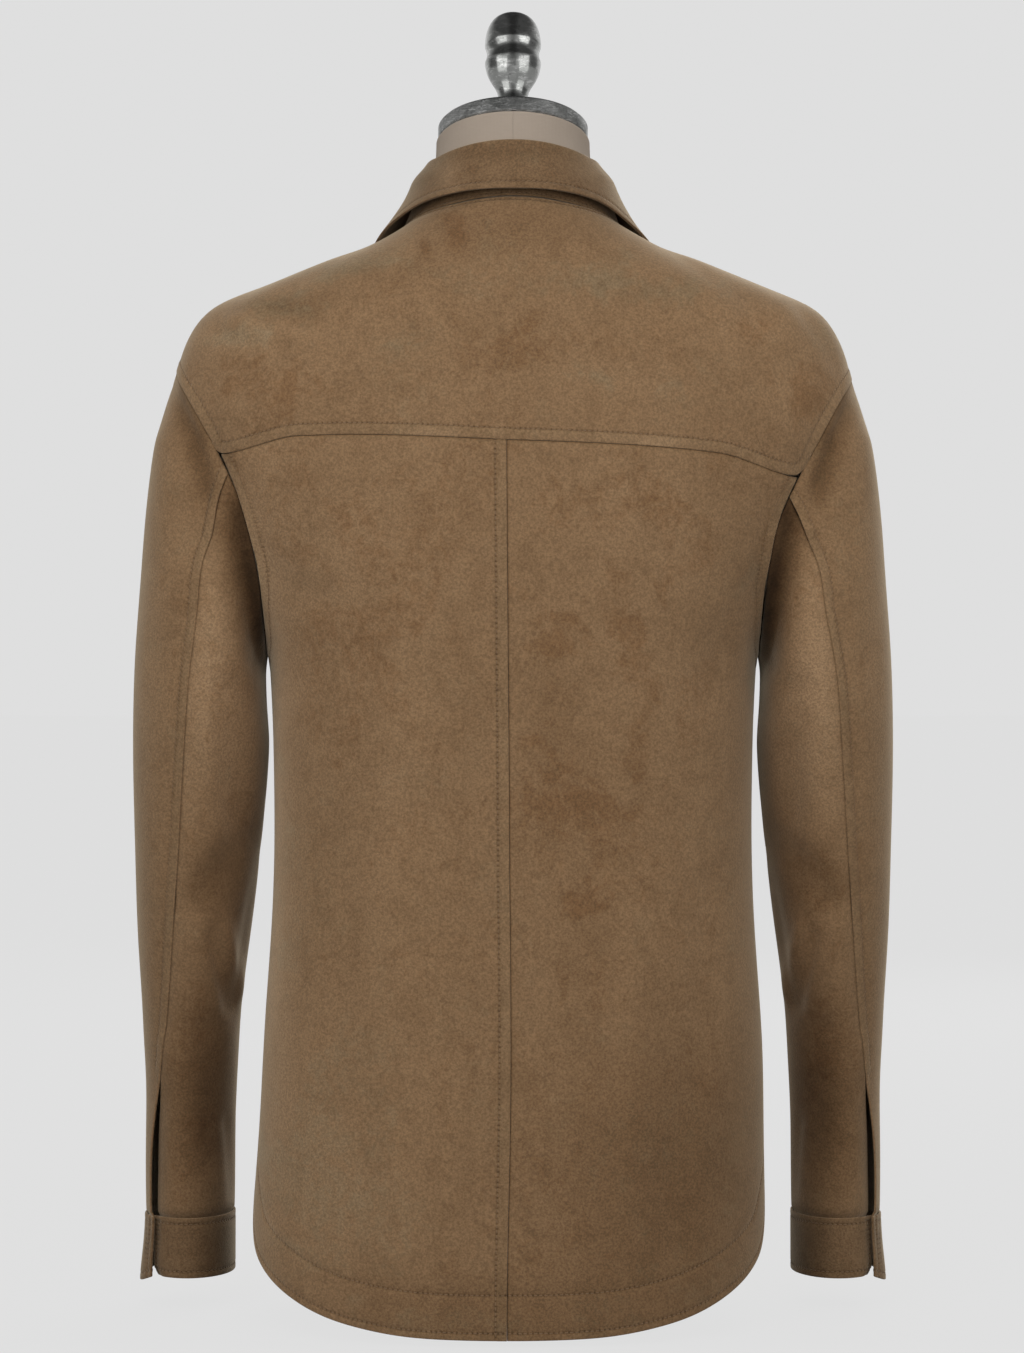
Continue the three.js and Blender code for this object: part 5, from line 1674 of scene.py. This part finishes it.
def make_form(colours):
    canvas = canvas_material(colours)
    dark, bright = colours.pewter_dark, colours.pewter_bright
    rubbed = (*shades(dark, 1.6), *shades(bright, 0.9))
    pewter = metal_material(
        "aged pewter", dark, bright, marks=60.0, roughness=0.42, strength=0.5
    )
    polished = metal_material(
        "rubbed pewter", *rubbed, marks=40.0, roughness=0.12, strength=0.08
    )
    steel = metal_material(
        "satin steel", STEEL, BRIGHT_STEEL, marks=40.0, roughness=0.3, strength=0.05
    )
    torso = smoothed_copy("form_torso_canvas", "form_torso", 2, canvas)
    finish_piece(torso, "form_cloth", "form_torso")
    neck = smoothed_copy("form_neck_canvas", "form_neck", 3, canvas)
    finish_piece(neck, "form_cloth", "form_neck")
    lean_neck(neck)
    low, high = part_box("neck_cap")
    centre = (low + high) / 2
    tilt = Matrix.Rotation(CAP_TILT, 4, "X")
    radius, half = CAP["radius"], CAP["half"]
    plate = table("radius height", [
        (0.0, -half), (radius - CAP["lower rim"], -half), (radius, CAP["lower rim"] - half),
        (radius, half - CAP["upper rim"]), (radius - CAP["upper rim"], half), (0.0, half),
    ])
    placing = Matrix.Translation(centre) @ tilt
    cap = turned("neck_cap_pewter", plate, PLATE_SIDES, placing, pewter, CAP_ROUNDING)
    finish_piece(cap, "pewter", "neck_cap")
    axis = tilt @ Vector((0, 0, 1))
    placing = Matrix.Translation(centre + axis * (half + FINIAL_GAP)) @ tilt
    finial = turned("finial_pewter", FINIAL_PROFILE, TUBE_SIDES, placing, polished, 0.0)
    smooth_by(finial, 1)
    finish_piece(finial, "pewter", "finial")
    low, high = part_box("form_pole")
    tube = table("radius height", [
        (0.0, low.z), (high.x, low.z), (high.x, high.z), (0.0, high.z),
    ])
    here = Matrix.Identity(4)
    pole = turned("form_pole_steel", tube, TUBE_SIDES, here, steel, STEEL_ROUNDING)
    finish_piece(pole, "steel", "form_pole")
    low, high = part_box("form_foot")
    inwards, shoulder = FOOT_SHOULDER
    disc = table("radius height", [
        (0.0, low.z), (high.x, low.z), (high.x, FOOT_WALL), (high.x - inwards, shoulder),
        (high.x - FOOT_SLOPE, high.z), (0.0, high.z),
    ])
    foot = turned("form_foot_steel", disc, PLATE_SIDES, here, steel, STEEL_ROUNDING)
    finish_piece(foot, "steel", "form_foot")


FLOOR_SIZE, FLOOR_TONE = 40.0, 0.03
LAMPS_ON_FLOOR = 0.2  # about what the lamps add to the even light on the floor
WHITE = (1.0, 1.0, 1.0, 1.0)
# The room as shiny metal mirrors it: its walls by their height, in the middle, at the ends.
WALL_HEIGHT = (0.22, 0.7, 1.0, 0.14)
WALL_MIDDLE = (0.08, 0.4, 0.42, 1.0)
WALL_ENDS = (0.75, 0.98, 1.0, 0.25)
# Each lamp's place and the height that it faces over the middle of the floor, in metres, its
# share of the key light's power, and whether shiny metal mirrors it.
LAMPS = named_table("place aim size share mirrored", {
    "overhead": ((0.3, 2.0, 2.3), 0.4, (2.4, 1.6), 1.0, False),
    "left window": ((2.2, 1.9, 1.0), 0.5, (2.4, 1.9), 0.86, True),
    "right window": ((-2.2, 1.9, 1.0), 0.5, (2.4, 1.9), 0.9, True),
    "behind the camera": ((0.0, 3.4, 0.5), 0.35, (2.6, 1.6), 0.7, False),
    "front window": ((-0.9, -2.6, 1.7), 0.5, (1.8, 1.6), 1.9, False),
})
CAMERA_ASIDE, SENSOR_WIDTH, CLIP_END = 0.0007, 36.0, 200.0


def make_floor(settings):
    """A floor that looks as bright as the room, whatever falls on it."""
    bm = bmesh.new()
    bmesh.ops.create_grid(bm, x_segments=1, y_segments=1, size=FLOOR_SIZE)
    material, tree, shader = new_material("pale floor")
    scene_object("floor", bm, material)
    ray = add_node(tree, "ShaderNodeLightPath").outputs
    seen = sums(tree, "MAXIMUM", ray["Is Camera Ray"], ray["Is Glossy Ray"])
    own_light = settings.backdrop - FLOOR_TONE * (settings.room_light + LAMPS_ON_FLOOR)
    fill(tree, shader, {
        "Base Color": (FLOOR_TONE, FLOOR_TONE, FLOOR_TONE, 1.0),
        "Roughness": 1.0,
        "Specular IOR Level": 0.0,
        "Emission Color": WHITE,
        "Emission Strength": times(tree, seen, own_light),
    })


def make_room(scene, settings):
    """Even light from all sides, with walls of their own for what shiny metal mirrors."""
    scene.world = bpy.data.worlds.new("room")
    scene.world.use_nodes = True
    tree = scene.world.node_tree
    tree.nodes.clear()
    path = add_node(tree, "ShaderNodeLightPath").outputs
    way = add_node(tree, "ShaderNodeTexCoord").outputs["Generated"]
    axes = add_node(tree, "ShaderNodeSeparateXYZ", {"Vector": way}).outputs
    aside = sums(tree, "ABSOLUTE", axes["X"])
    walls = spread(tree, axes["Z"], *WALL_HEIGHT)
    walls = times(tree, walls, spread(tree, aside, *WALL_MIDDLE))
    walls = times(tree, walls, spread(tree, aside, *WALL_ENDS))
    glossy = path["Is Glossy Ray"]
    even = times(tree, sums(tree, "SUBTRACT", 1.0, glossy), settings.room_light)
    strength = weighted(tree, even, (glossy, walls))
    lit, seen = [
        add_node(tree, "ShaderNodeBackground", {"Color": WHITE, "Strength": glow}).outputs[0]
        for glow in (strength, settings.backdrop)
    ]
    mix = add_node(tree, "ShaderNodeMixShader", {0: path["Is Camera Ray"], 1: lit, 2: seen})
    add_node(tree, "ShaderNodeOutputWorld", {"Surface": mix.outputs[0]})


def make_lamps(power):
    for name, row in LAMPS.items():
        lamp = bpy.data.lights.new(name, "AREA")
        lamp.shape = "RECTANGLE"
        lamp.size, lamp.size_y = row["size"]
        lamp.energy = power * row["share"]
        light = bpy.data.objects.new(name, lamp)
        light.location = row["place"]
        way = Vector((0.0, 0.0, row["aim"])) - Vector(row["place"])
        light.rotation_euler = way.to_track_quat("-Z", "Y").to_euler()
        light.visible_glossy = row["mirrored"]
        bpy.context.scene.collection.objects.link(light)


def make_camera(scene, settings):
    """A level camera that looks at the jacket's back."""
    eye = bpy.data.cameras.new("camera")
    eye.sensor_width = SENSOR_WIDTH
    eye.lens = SENSOR_WIDTH / 2 / math.tan(settings.view_angle / 2)
    eye.clip_end = CLIP_END
    camera = bpy.data.objects.new("camera", eye)
    camera.location = (CAMERA_ASIDE, settings.camera_distance, settings.camera_height)
    camera.rotation_euler = (math.pi / 2, 0.0, math.pi)
    scene.collection.objects.link(camera)
    scene.camera = camera


class JACKET_PT_panel(bpy.types.Panel):
    """Lists the jacket's settings and what makes each piece"""

    bl_label = "Suede Jacket"
    bl_idname = "JACKET_PT_panel"
    bl_space_type = "VIEW_3D"
    bl_region_type = "UI"
    bl_category = "Jacket"

    def draw(self, context):
        scene, layout = context.scene, self.layout
        for settings in (scene.jacket_suede, scene.jacket_form, scene.jacket_stage):
            box = layout.box()
            for name in settings.__annotations__:
                box.prop(settings, name)
        for operator in OPERATORS:
            layout.operator(operator.bl_idname)


OPERATORS = (
    JACKET_OT_stage,
    JACKET_OT_coat,
    JACKET_OT_collar,
    JACKET_OT_cuffs,
    JACKET_OT_buttons,
    JACKET_OT_form,
)
CLASSES = (JacketSuede, JacketForm, JacketStage, *OPERATORS, JACKET_PT_panel)


def register():
    for kind in CLASSES:
        bpy.utils.register_class(kind)
    bpy.types.Scene.jacket_suede = bpy.props.PointerProperty(type=JacketSuede)
    bpy.types.Scene.jacket_form = bpy.props.PointerProperty(type=JacketForm)
    bpy.types.Scene.jacket_stage = bpy.props.PointerProperty(type=JacketStage)


def unregister():
    del bpy.types.Scene.jacket_stage
    del bpy.types.Scene.jacket_form
    del bpy.types.Scene.jacket_suede
    for kind in reversed(CLASSES):
        bpy.utils.unregister_class(kind)


def main():
    register()
    bpy.ops.jacket.stage()
    bpy.ops.jacket.coat()
    bpy.ops.jacket.collar()
    bpy.ops.jacket.cuffs()
    bpy.ops.jacket.buttons()
    bpy.ops.jacket.form()


if __name__ == "__main__":
    main()
